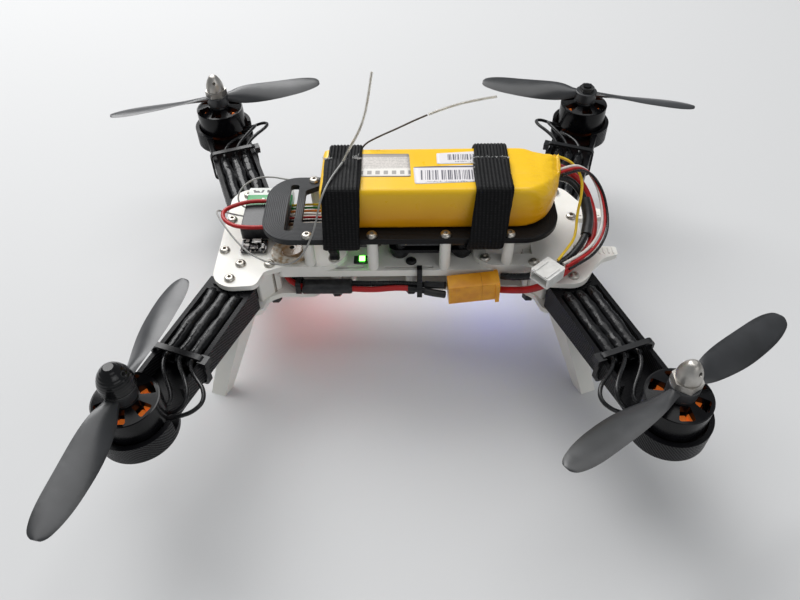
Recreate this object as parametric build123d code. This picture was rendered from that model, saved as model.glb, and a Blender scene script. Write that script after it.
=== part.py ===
"""Four-rotor model aircraft with a printed frame and its flight controller board.

Frame: +X forward (nose), +Y left, +Z up. The origin is the centre of the accessory hole
pattern on the underside of the lower plate. Millimetres throughout.
"""
import math
import os

from build123d import *

# ---------------------------------------------------------------- driving dimensions
MOTOR_X = 112.6
MOTOR_Y = 109.0
HUB_Z = 36.0
FLOOR_Z = -38.0

LOWER_T = 3.0
MAIN_Z = 14.8
MAIN_T = 4.0
CLAMP_Z = MAIN_Z + MAIN_T
CLAMP_T = 3.0
CLAMP_TOP = CLAMP_Z + CLAMP_T
TOP_Z = 36.8
TOP_T = 3.0
TOP_TOP = TOP_Z + TOP_T

PLATE_HALF_W = 24.4
PLATE_NARROW = 20.4
END_X = 93.1
LOBE_Y = 38.6
MAIN_HALF_L = 62.0

STANDOFF_X = (-45.3, -13.95, 21.6, 52.4)
STANDOFF_Y = 21.6
STANDOFF_R = 2.75
SCREW_R = 1.5
HOLE_R = 1.65
HEAD_R = 2.75
HEAD_H = 1.7

ARM_BOLT = (84.2, 32.3)
ARM_LEN = math.hypot(MOTOR_X - ARM_BOLT[0], MOTOR_Y - ARM_BOLT[1])
ARM_ANGLE = math.degrees(math.atan2(MOTOR_Y - ARM_BOLT[1], MOTOR_X - ARM_BOLT[0]))
ARM_SECOND_BOLT = -11.0
ARM_HALF_W = 12.5
ARM_WALL = 2.2
ARM_WALL_TOP = 17.8
ARM_TANG_HALF_W = 8.4
CUP_R = 17.2
CUP_BORE_R = 15.0
CUP_Z = 8.0
CUP_TOP = 18.5
CUP_FLOOR = 3.0

BELL_R = 14.0
BELL_BORE_R = 12.9
BELL_Z = 17.3
BELL_RIM_Z = 30.0
BELL_HUB_Z = 32.8
SHAFT_R = 2.5
SHAFT_TOP = HUB_Z + 6.5
TUBE_R = 4.0
BEARING_R = 3.4

PROP_R = 63.5
PROP_HUB_R = 6.4
PROP_HUB_H = 6.0
PROP_PITCH = 66.0
ROOT_TWIST = 33.0

BATTERY_X = (-38.0, 70.5)
BATTERY_END_X = 75.2
BATTERY_HALF_W = 17.5
BATTERY_Z = TOP_TOP
BATTERY_TOP = 63.0

FC_X = 15.0
FC_SIZE = 36.0
FC_PITCH = 30.5
FC_Z = 29.6
FC_T = 1.6

ACCESSORY_X = 25.0
ACCESSORY_Y = 14.0

CORNERS = {
    "front_right": (1, -1),
    "front_left": (1, 1),
    "rear_right": (-1, -1),
    "rear_left": (-1, 1),
}
BLADE_ANGLE = {
    "front_right": 32.4,
    "front_left": 167.7,
    "rear_right": 81.2,
    "rear_left": 14.5,
}
NUT_STYLE = {
    "front_right": "cone",
    "front_left": "thin",
    "rear_right": "spinner",
    "rear_left": "cone",
}

MOTOR_BOLT_R = 8.0
BEARING_H = 3.0
STATOR_R = 11.5
STATOR_Z = 18.4
STATOR_H = 6.4
TEETH = 12
SPOKES = 6
MAGNETS = 14

# radius, chord, thickness and lag of the blade sections
BLADE_STATIONS = [
    (5.4, 6.4, 2.4, 0.0),
    (8.4, 7.4, 2.2, -0.1),
    (13.0, 10.4, 1.9, -0.3),
    (20.0, 13.0, 1.6, -0.5),
    (31.0, 14.6, 1.3, -0.7),
    (43.0, 14.4, 1.0, -0.2),
    (54.0, 12.6, 0.9, 0.8),
    (60.0, 9.4, 0.8, 1.5),
    (62.6, 6.2, 0.7, 1.8),
    (PROP_R, 3.4, 0.6, 1.9),
]

INNER_WALL_END = 63.0
PLUG_Y = (-6.2, 0.0, 6.2)
PLUG_R = 2.95
PLUG_X0 = 10.0
PLUG_X1 = 43.5
PLUG_Z = 16.5
TIE_X = 46.0
TIE_W = 2.8
TIE_Z = (4.4, 20.4)
HARNESS_TIE_X = (7.8, -53.8)
PRONG_RIBS = (94.5, 96.9, 99.3, 101.7, 104.1, 106.3)
WINDOW_X = (42.6, 66.0)
WINDOW_Y = (9.6, 16.2)
ACCESSORY_R = 1.6

CORNER_WALL = [
    (62.3, 9.0, 0.6), (62.3, 20.6, 0.6), (67.6, 26.0, 1.5), (71.0, 30.2, 1.0), (73.4, 29.2, 0.6),
    (66.2, 9.0, 0.6),
]
LEG_TOP = [(73.3, 27.5), (79.8, 36.4), (90.0, 32.4), (83.5, 23.5)]
LEG_FOOT = [(90.2, 53.8), (93.6, 60.1), (101.0, 57.5), (97.4, 51.4)]

# wire routes in an arm's own frame: bullet plug to motor
MOTOR_WIRE_R = 0.95
MOTOR_WIRE_ROUTES = [
    [
        (43.9, 6.2, 16.6), (49, 7.6, 18.3), (54, 11.2, 20.4), (58.2, 17, 21.6), (62, 23, 22),
        (67.3, 26, 21.2), (72.2, 23.4, 19.4), (74.6, 18.4, 17.0), (76.2, 13.6, 15.3), (78.6, 9.8, 15.0),
    ],
    [
        (43.9, 0, 16.6), (49.5, 1.8, 18.9), (55, 6.4, 21.2), (60, 12.4, 22.6), (65.6, 17.6, 22.4),
        (70.6, 18.4, 19.8), (73.2, 15.0, 16.6), (74.6, 10.6, 15.2), (77.0, 7.0, 15.0),
    ],
    [
        (43.9, -6.2, 16.6), (50, -5.6, 18.2), (56, -2.4, 18.9), (61, 2.6, 18.6), (65.2, 7.2, 17.2),
        (69.2, 9.6, 15.6), (73.0, 7.4, 15.0), (75.6, 4.2, 15.0),
    ],
]

# wire routes on the body
MAIN_LEAD_R = 1.8
BLACK_LEAD = [
    (49.7, -26.6, 16.4), (57, -28.8, 17.8), (64, -31.8, 21.4), (71, -32.4, 25.8), (79, -28.8, 28.0),
    (86, -22.5, 30.0), (91.5, -14, 32.2), (94, -4.4, 35.6), (92.6, 4, 40.2), (88.4, 9.2, 45),
    (82.4, 10.2, 49), (76.3, 8.0, 51.0),
]
RED_LEAD = [
    (49.9, -29.2, 9.3), (57, -32.2, 11.8), (64, -36.6, 17.0), (70.6, -39.2, 24.0), (79, -34.0, 26.4),
    (87, -26.4, 27.6), (93.6, -17.6, 28.6), (97.4, -6.4, 31.6), (96.6, 4.6, 36.8), (92.8, 12.4, 42.6),
    (86.4, 16.0, 47.6), (80.8, 14.8, 51.6), (76.4, 12.4, 54.6),
]
BALANCE_R = 0.7
YELLOW_WIRE = [
    (76.2, 15.6, 58.2), (82, 17.0, 56.0), (87.6, 14.6, 52.8), (90.6, 8.4, 49.6), (90.2, 2.4, 43.6),
    (88.2, -3.4, 36.8), (87.2, -10.4, 32.2), (85.0, -17.0, 31.8), (81.6, -23.0, 33.2), (78.0, -28.8, 34.0),
    (74.6, -33.0, 33.2),
]
OUTER_WIRE = [
    (76.2, 4.6, 57.6), (82, 8.0, 57.2), (88.6, 12.6, 54.6), (95.0, 14.0, 49.4), (99.6, 8.8, 43.4),
    (101.0, 0.4, 38.0), (100.2, -8.6, 34.6), (96.2, -17.2, 32.8), (90.4, -25.0, 32.6), (83.6, -30.8, 33.0),
    (77.0, -35.0, 32.8),
]
OUTER_OFFSETS = [(0.0, 0.0, 0.0), (1.2, -1.4, -0.4), (2.4, -2.8, -0.8)]
PLUG_CENTRE = (68.9, -40.2, 32.0)
PLUG_TURN = 41.5

CONNECTOR_MIDDLE = 36.0
CONNECTOR_TURN = 5.5
HARNESS_R = 1.5
HARNESS_BLACK = [
    (22.4, -27.5, 11.1), (15.6, -25.8, 9.6), (8.2, -24.2, 8.4), (-2, -23.4, 8.6), (-14, -24.4, 9.4),
    (-26, -23.6, 9.0), (-38, -23.4, 8.4), (-49, -22.6, 8.2), (-57.2, -17.6, 8.6), (-55, -9.8, 9.0),
    (-44, -7.0, 9.0), (-33, -6.4, 8.6), (-27.6, -6.0, 8.2),
]
HARNESS_RED = [
    (22.4, -30.3, 7.1), (15.6, -29.2, 7.4), (8.2, -27.4, 8.2), (-2, -26.8, 9.0), (-14, -27.8, 8.4),
    (-26, -26.8, 8.4), (-38, -26.6, 8.4), (-50, -26.2, 8.2), (-61.0, -18.6, 9.2), (-58.4, -6.4, 9.4),
    (-46, -2.6, 9.2), (-35, -2.2, 8.6), (-27.6, -2.2, 8.2),
]

FEED_R = 1.1
FEED_Y = 4.6
FEED_Z = 9.2
FEED_INNER = [
    (27.4, 3.2, 5.8), (36, 4.2, 6.8), (50, 4.8, 8.6), (61, 4.0, FEED_Z), (68.2, 5.2, FEED_Z),
    (72.25, 13.3, FEED_Z), (82.74, 41.6, FEED_Z),
]
FEED_OUTER = [
    (27.4, 0.4, 5.8), (36, 1.0, 6.8), (50, 1.4, 8.6), (66, 1.2, FEED_Z), (77.6, 1.6, FEED_Z),
    (80.87, 10.1, FEED_Z), (91.37, 38.4, FEED_Z),
]

COAX_R = 0.45
COAX_A = [
    (-82.5, 15.6, 27.0), (-85.8, 16.6, 28.4), (-87.0, 20.2, 31.4), (-84.4, 25.8, 33.8), (-78.0, 31.0, 35.0),
    (-69.4, 31.6, 35.2), (-61, 29.6, 34.6), (-52, 28.4, 34.0), (-42, 28.8, 34.2), (-33, 29.8, 36.0),
    (-26, 29.6, 41.0), (-22.4, 27.2, 49.0), (-19.8, 22.8, 58.0), (-17.2, 19.0, 64.4), (-10.5, 18.2, 68.8),
    (-0.9, 18.2, 73.5), (7.0, 18.6, 77.5), (13.2, 18.9, 80.2),
]
COAX_B = [
    (-82.5, 9.2, 26.6), (-88.6, 9.8, 27.4), (-94.2, 9.6, 30.2), (-95.4, 5.4, 33.6), (-92.6, -1.0, 34.2),
    (-87.6, -8.0, 32.6), (-81.6, -15.6, 30.6), (-74.0, -22.6, 28.8), (-65.6, -26.8, 27.4),
    (-57.4, -28.4, 26.8), (-50.4, -27.8, 29.2), (-46.0, -26.9, 35.4), (-42.8, -26.4, 42.0),
    (-39.8, -24.8, 49.6), (-37.8, -23.2, 58.0), (-35.2, -20.6, 65.0), (-32.4, -13.0, 66.8),
    (-29.6, -5.4, 66.8), (-27.4, 0.2, 66.8),
]
AERIAL_TUBES = [
    [
        (-27.2, 0.8, 67.0), (-24.4, 4.2, 71.0), (-20.4, 5.4, 77.4), (-17.0, 7.0, 84.4), (-14.4, 10.2, 93.4),
        (-12.2, 15.2, 105.0),
    ],
    [(13.8, 19.0, 80.4), (22.3, 19.7, 83.5), (32.6, 21.0, 86.0), (46.0, 22.4, 87.5)],
]
TUBE_OUTER_R = 0.7

POWER_WIRE_R = 1.1
POWER_WIRE = [
    (-64.0, 14.2, 32.0), (-72, 15.0, 32.0), (-80, 14.6, 32.0), (-87, 12.2, 31.6), (-92.4, 7.0, 32.2),
    (-91.0, 0.2, 32.2), (-85.4, -4.4, 31.8), (-78, -6.0, 32.0), (-70, -6.2, 32.2), (-63, -5.8, 32.4),
]
SOUNDER = (-65.8, -46.8, -22.8, -6.4)
SIGNAL_R = 0.65
SIGNAL_COUNT = 7

REAR_STRAP_X = (-36.8, -19.6)
FRONT_STRAP_X = (32.4, 49.6)
LED_X = (-52.0, 52.0)
TRAY_Z = 25.0
TRAY_T = 2.0
DAMPER_X = 15.7
DAMPER_Y = 12.4
BUTTON_X = 9.5
BUTTON_Y = -8.0
BUTTON_R = 0.8
BUTTON_TRAVEL = 0.25
SMALL_PARTS = [
    (-8, 4, 1), (-8, 0, 0), (-8, -3, 1), (6, 3, 0), (6, 10.6, 1), (2.6, -7.6, 1), (-2.6, -7.6, 0),
    (-5.6, 8.6, 1),
    (12, 4.4, 0), (12.4, 9.6, 1), (-11.6, 7.2, 0), (-11.4, -4.2, 1), (4.8, -10.6, 0), (-6.4, 11.6, 0),
]

# ---------------------------------------------------------------- helpers
def save(name, shape):
    """Write one node."""
    export_step(shape, os.path.join("parts", name + ".step"))


def group(shapes):
    """Several separate solids in one node."""
    solids = []
    for shape in shapes:
        solids.extend(shape.solids())
    return Compound(children=solids)


def outline(corners):
    """A closed flat face through (x, y, corner radius) points."""
    face = make_face(Polyline(*[(x, y) for x, y, _ in corners], close=True))
    for x, y, radius in corners:
        if radius:
            vertex = face.vertices().sort_by_distance((x, y, 0))[0]
            face = fillet(vertex, radius)
    return face


def two_sided(half):
    """A half outline with y > 0, completed by its mirror image."""
    return outline(half + [(x, -y, r) for x, y, r in reversed(half)])


def slab(face, z, thickness):
    """A flat face raised to z and given a thickness."""
    return Pos(0, 0, z) * extrude(face, thickness)


def rod(x, y, z, radius, height):
    """An upright cylinder standing on z."""
    return Pos(x, y, z) * Cylinder(radius, height, align=(Align.CENTER, Align.CENTER, Align.MIN))


def block(x0, x1, y0, y1, z0, z1):
    """A box between two corners."""
    size = Box(x1 - x0, y1 - y0, z1 - z0)
    return Pos((x0 + x1) / 2, (y0 + y1) / 2, (z0 + z1) / 2) * size


def rounded(x0, x1, y0, y1, z0, z1, radius):
    """A box with its upright edges rounded."""
    body = block(x0, x1, y0, y1, z0, z1)
    return fillet(body.edges().filter_by(Axis.Z), radius)


def to_corner(shape, side):
    """Move a shape made for the front left corner to another corner."""
    if side[0] < 0:
        shape = mirror(shape, about=Plane.YZ)
    if side[1] < 0:
        shape = mirror(shape, about=Plane.XZ)
    return shape


def both_sides(places):
    """Each (x, y) place and its mirror image in y."""
    return [(x, s * y) for x, y in places for s in (1, -1)]


def on_arm(shape):
    """Move a shape from the arm's own frame, with x along the arm, to the front left arm."""
    return Pos(ARM_BOLT[0], ARM_BOLT[1], 0) * Rot(0, 0, ARM_ANGLE) * shape


def button_screw(x, y, z, tip):
    """A button head screw on a face at z, with its shank down to tip."""
    head = Pos(x, y, z) * revolve(
        make_face(
            Line((0, 0), (HEAD_R, 0))
            + Line((HEAD_R, 0), (HEAD_R, 0.35))
            + ThreePointArc((HEAD_R, 0.35), (HEAD_R * 0.78, HEAD_H * 0.78), (1.2, HEAD_H))
            + Line((1.2, HEAD_H), (0, HEAD_H))
            + Line((0, HEAD_H), (0, 0))
        ).rotate(Axis.X, 90),
        Axis.Z,
    )
    socket = Pos(x, y, z + 0.6) * extrude(RegularPolygon(1.15, 6), 2)
    return head - socket + rod(x, y, tip, SCREW_R, z - tip)


def hex_nut(x, y, z, radius, height, bore):
    """A plain hexagon nut standing on z."""
    return Pos(x, y, z) * (extrude(RegularPolygon(radius, 6), height)) - rod(x, y, z, bore, height)


def corner_radii(points):
    """The largest arc that each corner of a wire's route has room for."""
    vectors = [Vector(*p) for p in points]
    radii = []
    for a, b, c in zip(vectors, vectors[1:], vectors[2:]):
        turn = math.radians((b - a).get_angle(c - b))
        shorter = min((b - a).length, (c - b).length)
        radii.append(0.45 * shorter / math.tan(turn / 2))
    return radii


def wire(points, radius, name=""):
    """A round wire: straight runs joined by tangent arcs."""
    radii = corner_radii(points)
    path = FilletPolyline(*points, radius=radii)
    start = Plane(origin=path @ 0, z_dir=path % 0)
    solid = sweep(start * Circle(radius), path=path)
    expected = math.pi * radius**2 * path.length
    if abs(solid.volume / expected - 1) > 0.02:
        print("wire volume off", name, solid.volume, expected)
    if name:
        print(f"{name}: length {path.length:.1f}, smallest radius {min(radii):.1f}")
    return solid


def part_way(a, b, share):
    """The point at a share of the way from a to b."""
    return tuple(p + (q - p) * share for p, q in zip(a, b))


def shift(points, dx=0.0, dy=0.0, dz=0.0):
    """The same route moved sideways."""
    return [(x + dx, y + dy, z + dz) for x, y, z in points]


# ---------------------------------------------------------------- screw places
END_SCREWS = [(90.0, 11.9), (-90.0, 11.9)]
WALL_SCREWS = [(66.0, 22.3), (-66.0, 22.3)]
POST_SCREWS = [(5.0, 18.0), (42.0, 19.0), (-34.0, 18.2)]
SECOND_BOLT = (
    ARM_BOLT[0] + ARM_SECOND_BOLT * math.cos(math.radians(ARM_ANGLE)),
    ARM_BOLT[1] + ARM_SECOND_BOLT * math.sin(math.radians(ARM_ANGLE)),
)
ARM_BOLTS = [(sx * x, y) for sx in (1, -1) for x, y in (ARM_BOLT, SECOND_BOLT)]
ACCESSORY_HOLES = [(ACCESSORY_X, ACCESSORY_Y), (-ACCESSORY_X, ACCESSORY_Y)]


def drilled(plate, places, z, thickness, radius=HOLE_R):
    """A plate with round holes through it at (x, y) places on both sides."""
    for x, y in both_sides(places):
        plate -= rod(x, y, z - 1, radius, thickness + 2)
    return plate


# ---------------------------------------------------------------- frame plates
def main_plate():
    """The body plate that everything is stacked on."""
    tongue = 7.4
    half = [
        (-92.0, tongue, 2), (-MAIN_HALF_L, tongue, 1), (-MAIN_HALF_L, PLATE_HALF_W, 2),
        (MAIN_HALF_L, PLATE_HALF_W, 2), (MAIN_HALF_L, tongue, 1), (92.0, tongue, 2),
    ]
    plate = slab(two_sided(half), MAIN_Z, MAIN_T)
    for side in (1, -1):
        for x0, x1 in ((-37.0, -19.0), (-8.5, 16.0)):
            y0, y1 = sorted((side * 21.4, side * 22.8))
            plate -= block(x0, x1, y0, y1, MAIN_Z - 1, CLAMP_Z + 1)
        y0, y1 = sorted((side * WINDOW_Y[0], side * WINDOW_Y[1]))
        plate -= block(*WINDOW_X, y0, y1, MAIN_Z - 1, CLAMP_Z + 1)
    plate -= slab(outline([(-24, -7, 3), (-24, 7, 3), (-10, 7, 3), (-10, -7, 3)]), MAIN_Z - 1, 6)
    plate = drilled(plate, POST_SCREWS, MAIN_Z, MAIN_T)
    return drilled(plate, [(x, STANDOFF_Y) for x in STANDOFF_X], MAIN_Z, MAIN_T)


def lower_plate():
    """The belly plate, with printed corner walls and posts that carry the plates above."""
    half = [
        (-END_X, LOBE_Y, 11), (-71, 37, 4), (-68, 27.5, 3), (-62, PLATE_HALF_W, 3),
        (-45, PLATE_HALF_W, 2), (-40.5, PLATE_NARROW, 2), (60, PLATE_NARROW, 3),
        (68, 27.5, 3), (71, 37, 4), (END_X, LOBE_Y, 11),
    ]
    plate = slab(two_sided(half), 0, LOWER_T)
    wall = slab(outline(CORNER_WALL), LOWER_T, CLAMP_Z - LOWER_T)
    for side in CORNERS.values():
        plate += to_corner(wall, side)
    for x, y in both_sides(END_SCREWS):
        plate += rod(x, y, LOWER_T, 3.0, CLAMP_Z - LOWER_T)
    for x, y in both_sides(POST_SCREWS):
        plate += rod(x, y, LOWER_T, 3.0, MAIN_Z - LOWER_T)
    plate = drilled(plate, END_SCREWS + WALL_SCREWS + POST_SCREWS, 0, CLAMP_Z)
    plate = drilled(plate, ARM_BOLTS, 0, LOWER_T)
    return drilled(plate, ACCESSORY_HOLES, 0, LOWER_T, ACCESSORY_R)


def clamp(inner_x):
    """An end plate that clamps two arms, drawn for the nose end and not yet drilled."""
    half = [
        (inner_x, PLATE_HALF_W, 12), (60, PLATE_HALF_W, 3), (68, 27.5, 3),
        (71, 37, 4), (END_X, LOBE_Y, 11),
    ]
    return slab(two_sided(half), CLAMP_Z, CLAMP_T)


def front_clamp():
    """The nose clamp, with its cable window and the two forward prongs."""
    plate = clamp(36.2)
    prong = outline([
        (88, 9.8, 0), (108.8, 11.6, 1.2), (108.8, 17.2, 1.4), (101.4, 19.8, 7), (95.4, 25.6, 5),
        (92.2, 31.4, 0),
    ])
    ribs = [block(x, x + 0.8, 12.6, 16.6, CLAMP_TOP, CLAMP_TOP + 0.5) for x in PRONG_RIBS]
    for side in (1, -1):
        plate += to_corner(slab(prong, CLAMP_Z, CLAMP_T), (1, side))
        for rib in ribs:
            plate += to_corner(rib, (1, side))
        y0, y1 = sorted((side * WINDOW_Y[0], side * WINDOW_Y[1]))
        plate -= block(*WINDOW_X, y0, y1, CLAMP_Z - 1, CLAMP_TOP + 1)
    places = [ARM_BOLT, SECOND_BOLT, END_SCREWS[0], WALL_SCREWS[0], POST_SCREWS[1]]
    return drilled(plate, places + [(STANDOFF_X[3], STANDOFF_Y)], CLAMP_Z, CLAMP_T)


def rear_clamp():
    """The tail clamp that the receiver lies on."""
    plate = mirror(clamp(27.5), about=Plane.YZ)
    bolts = [(-ARM_BOLT[0], ARM_BOLT[1]), (-SECOND_BOLT[0], SECOND_BOLT[1])]
    places = bolts + [END_SCREWS[1], WALL_SCREWS[1], POST_SCREWS[2], (STANDOFF_X[0], STANDOFF_Y)]
    return drilled(plate, places, CLAMP_Z, CLAMP_T)


def leg():
    """A tapered landing leg, screwed up into the lobe of the lower plate."""
    top = make_face(Polyline(*LEG_TOP, close=True))
    foot = Pos(0, 0, FLOOR_Z) * make_face(Polyline(*LEG_FOOT, close=True))
    blade = loft([top, foot], ruled=True)
    return blade - rod(ARM_BOLT[0], ARM_BOLT[1], -6, 1.55, 7)


def arm():
    """A printed channel with a clamped tang at one end and the motor's cup at the other."""
    cup_x = ARM_LEN
    rise = (CUP_Z - LOWER_T) / (cup_x - CUP_R)
    profile = Polyline(
        (-2.0, LOWER_T), (cup_x - CUP_R, CUP_Z), (cup_x, CUP_Z), (cup_x, ARM_WALL_TOP), (-2.0, ARM_WALL_TOP),
        close=True,
    )
    side_face = Rot(90, 0, 0) * make_face(profile)
    channel = Pos(0, ARM_HALF_W, 0) * extrude(side_face, 2 * ARM_HALF_W, dir=(0, -1, 0))
    inner = ARM_HALF_W - ARM_WALL
    hollow = Polyline(
        (6.0, LOWER_T + 2.6 + 8 * rise), (cup_x, CUP_Z + CUP_FLOOR), (cup_x, 30.0), (6.0, 30.0), close=True
    )
    hollow_face = Rot(90, 0, 0) * make_face(hollow)
    channel -= Pos(0, inner, 0) * extrude(hollow_face, 2 * inner, dir=(0, -1, 0))
    channel -= block(INNER_WALL_END, cup_x + 1, inner - 1, ARM_HALF_W + 1, CUP_Z + CUP_FLOOR, 30)
    channel -= rod(cup_x, 0, CUP_Z - 1, CUP_R - 0.5, 40)
    tang = rounded(-22, 0, -ARM_TANG_HALF_W, ARM_TANG_HALF_W, LOWER_T, CLAMP_Z, 2)
    tang += block(-3, 3.0, -ARM_TANG_HALF_W, ARM_TANG_HALF_W, LOWER_T + 0.5, CLAMP_Z)
    cup = rod(cup_x, 0, CUP_Z, CUP_R, CUP_TOP - CUP_Z)
    cup -= rod(cup_x, 0, CUP_Z + CUP_FLOOR, CUP_BORE_R, 30)
    mouth = [(0, 0)]
    for degrees in (100, 120, 145, 170, 195, 216):
        turn = math.radians(degrees)
        mouth.append((30 * math.cos(turn), 30 * math.sin(turn)))
    opening = make_face(Polyline(*mouth, close=True))
    cup -= Pos(cup_x, 0, CUP_Z + CUP_FLOOR) * extrude(opening, 20)
    body = channel + tang + cup
    for degrees in (45, 135, 225, 315):
        turn = math.radians(degrees)
        body -= rod(cup_x + MOTOR_BOLT_R * math.cos(turn), MOTOR_BOLT_R * math.sin(turn), CUP_Z - 1, 1.6, 6)
    body -= rod(cup_x, 0, CUP_Z - 1, 3.6, 6)
    for x in (0.0, ARM_SECOND_BOLT):
        body -= rod(x, 0, LOWER_T - 1, HOLE_R, 30)
    for y in (-FEED_Y, FEED_Y):
        body -= Pos(-8, y, FEED_Z) * Rot(0, 90, 0) * Cylinder(FEED_R + 0.4, 32)
    return on_arm(body)


def top_plate():
    """The upper plate: battery tray, strap slot and cable window."""
    half = [(-68.5, 24.8, 16), (77.5, 24.8, 19)]
    plate = slab(two_sided(half), TOP_Z, TOP_T)
    slot = outline([(-57.0, -17.5, 1.5), (-57.0, 18.2, 1.5), (-52.6, 18.2, 1.5), (-52.6, -17.5, 1.5)])
    window = outline([
        (-49.0, -11.8, 2), (-49.0, 13.4, 2), (-41.6, 17.6, 2), (-22.0, 17.6, 2), (-22.0, -11.8, 2),
    ])
    plate -= slab(slot, TOP_Z - 1, TOP_T + 2)
    plate -= slab(window, TOP_Z - 1, TOP_T + 2)
    plate = fillet(plate.faces().sort_by(Axis.Z)[-1].outer_wire().edges(), 0.6)
    return drilled(plate, [(x, STANDOFF_Y) for x in STANDOFF_X], TOP_Z, TOP_T)


def standoffs():
    """Eight printed spacers under the top plate."""
    spacers = []
    for x in STANDOFF_X:
        base = CLAMP_TOP if x in (STANDOFF_X[0], STANDOFF_X[3]) else CLAMP_Z
        for side in (1, -1):
            tube = rod(x, side * STANDOFF_Y, base, STANDOFF_R, TOP_Z - base)
            spacers.append(tube - rod(x, side * STANDOFF_Y, base - 1, 1.55, 30))
    return group(spacers)


def top_plate_screws():
    """Button heads into the standoffs."""
    places = both_sides([(x, STANDOFF_Y) for x in STANDOFF_X])
    return group([button_screw(x, y, TOP_TOP, TOP_Z - 9) for x, y in places])


def frame_screws():
    """The screws and nuts that hold the clamps, arms, legs and plates together."""
    parts = []
    for x, y in both_sides(END_SCREWS + WALL_SCREWS + POST_SCREWS[1:]):
        parts.append(button_screw(x, y, CLAMP_TOP, -4.4))
        parts.append(hex_nut(x, y, -3.6, 3.1, 3.6, 1.55))
    for x, y in ARM_BOLTS:
        tip = -5.0 if abs(x) == ARM_BOLT[0] else 0.2
        for side in (1, -1):
            parts.append(button_screw(x, side * y, CLAMP_TOP, tip))
    return group(parts)


def nylon_screws():
    """The black screws on the middle posts."""
    parts = []
    for x, y in both_sides(POST_SCREWS[:1]):
        parts.append(button_screw(x, y, CLAMP_Z, -2.9))
        parts.append(hex_nut(x, y, -2.4, 3.1, 2.4, 1.55))
    return group(parts)


# ---------------------------------------------------------------- motors
def motor_spot(side):
    """The motor's axis at one corner."""
    return side[0] * MOTOR_X, side[1] * MOTOR_Y


def motor_bases():
    """Fixed bases with their bearing tubes and the screws that come up through the cups."""
    parts = []
    z0 = CUP_Z + CUP_FLOOR
    for side in CORNERS.values():
        x, y = motor_spot(side)
        base = rod(x, y, z0, 10.6, 2.2) + rod(x, y, z0, TUBE_R, BELL_RIM_Z - 2.8 - z0)
        base -= rod(x, y, z0 - 1, SHAFT_R + 0.2, 30)
        for end_z in (z0, BELL_RIM_Z - 2.8 - BEARING_H):
            base -= rod(x, y, end_z, BEARING_R, BEARING_H)
        parts.append(base)
    return group(parts)


def motor_bearings():
    """Two ball bearings in each tube."""
    parts = []
    z0 = CUP_Z + CUP_FLOOR
    for side in CORNERS.values():
        x, y = motor_spot(side)
        for z in (z0, BELL_RIM_Z - 2.8 - BEARING_H):
            parts.append(rod(x, y, z, BEARING_R - 0.02, BEARING_H) - rod(x, y, z - 1, SHAFT_R + 0.05, 9))
    return group(parts)


def stator_cores():
    """Toothed lamination stacks pressed on the bearing tubes."""
    parts = []
    for side in CORNERS.values():
        x, y = motor_spot(side)
        core = rod(0, 0, STATOR_Z, 6.4, STATOR_H) - rod(0, 0, STATOR_Z - 1, TUBE_R, 20)
        rim = rod(0, 0, STATOR_Z, STATOR_R, STATOR_H) - rod(0, 0, STATOR_Z - 1, STATOR_R - 1.1, 20)
        for tooth in range(TEETH):
            turn = Rot(0, 0, 360 / TEETH * tooth)
            core += turn * block(5.5, STATOR_R - 0.5, -0.8, 0.8, STATOR_Z, STATOR_Z + STATOR_H)
            rim -= turn * Rot(0, 0, 180 / TEETH) * block(5.0, 15, -0.5, 0.5, STATOR_Z - 1, 40)
        parts.append(Pos(x, y, 0) * (core + rim))
    return group(parts)


def stator_windings():
    """One copper coil round each tooth."""
    parts = []
    coil = rounded(6.9, 10.0, -1.55, 1.55, STATOR_Z - 1.1, STATOR_Z + STATOR_H + 1.1, 0.5)
    coil -= block(5, 12, -0.8, 0.8, STATOR_Z, STATOR_Z + STATOR_H)
    for side in CORNERS.values():
        x, y = motor_spot(side)
        for tooth in range(TEETH):
            parts.append(Pos(x, y, 0) * Rot(0, 0, 360 / TEETH * tooth) * coil)
    return group(parts)


def motor_bell(side):
    """The turning can: flux ring, magnets, spoked top and the threaded shaft."""
    can = rod(0, 0, BELL_Z, BELL_R, BELL_RIM_Z - BELL_Z) - rod(0, 0, BELL_Z - 1, BELL_BORE_R, 40)
    cap = revolve(
        Rot(90, 0, 0) * make_face(Polyline(
            (0, BELL_RIM_Z - 2.2), (BELL_R, BELL_RIM_Z - 2.2), (BELL_R, BELL_RIM_Z - 0.4),
            (BELL_R - 0.6, BELL_RIM_Z), (6.0, BELL_HUB_Z - 1.0), (5.4, BELL_HUB_Z), (0, BELL_HUB_Z),
            close=True,
        )),
        Axis.Z,
    )
    window = outline([(6.3, -2.0, 0.6), (12.3, -3.4, 0.9), (12.3, 3.4, 0.9), (6.3, 2.0, 0.6)])
    for spoke in range(SPOKES):
        cap -= Rot(0, 0, 360 / SPOKES * (spoke + 0.5)) * slab(window, BELL_Z, 30)
    shaft = rod(0, 0, CUP_Z + 2.0, SHAFT_R, SHAFT_TOP - CUP_Z - 2.0)
    bell = can + cap + shaft
    magnets = []
    inner = BELL_BORE_R - 1.0
    for index in range(MAGNETS):
        magnet = block(inner, BELL_BORE_R - 0.15, -2.1, 2.1, BELL_Z + 1.5, BELL_RIM_Z - 3.0)
        magnet -= rod(0, 0, BELL_Z, inner, 40)
        magnets.append(Rot(0, 0, 360 / MAGNETS * index) * magnet)
    x, y = motor_spot(side)
    return Pos(x, y, 0) * group([bell] + magnets)


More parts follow.
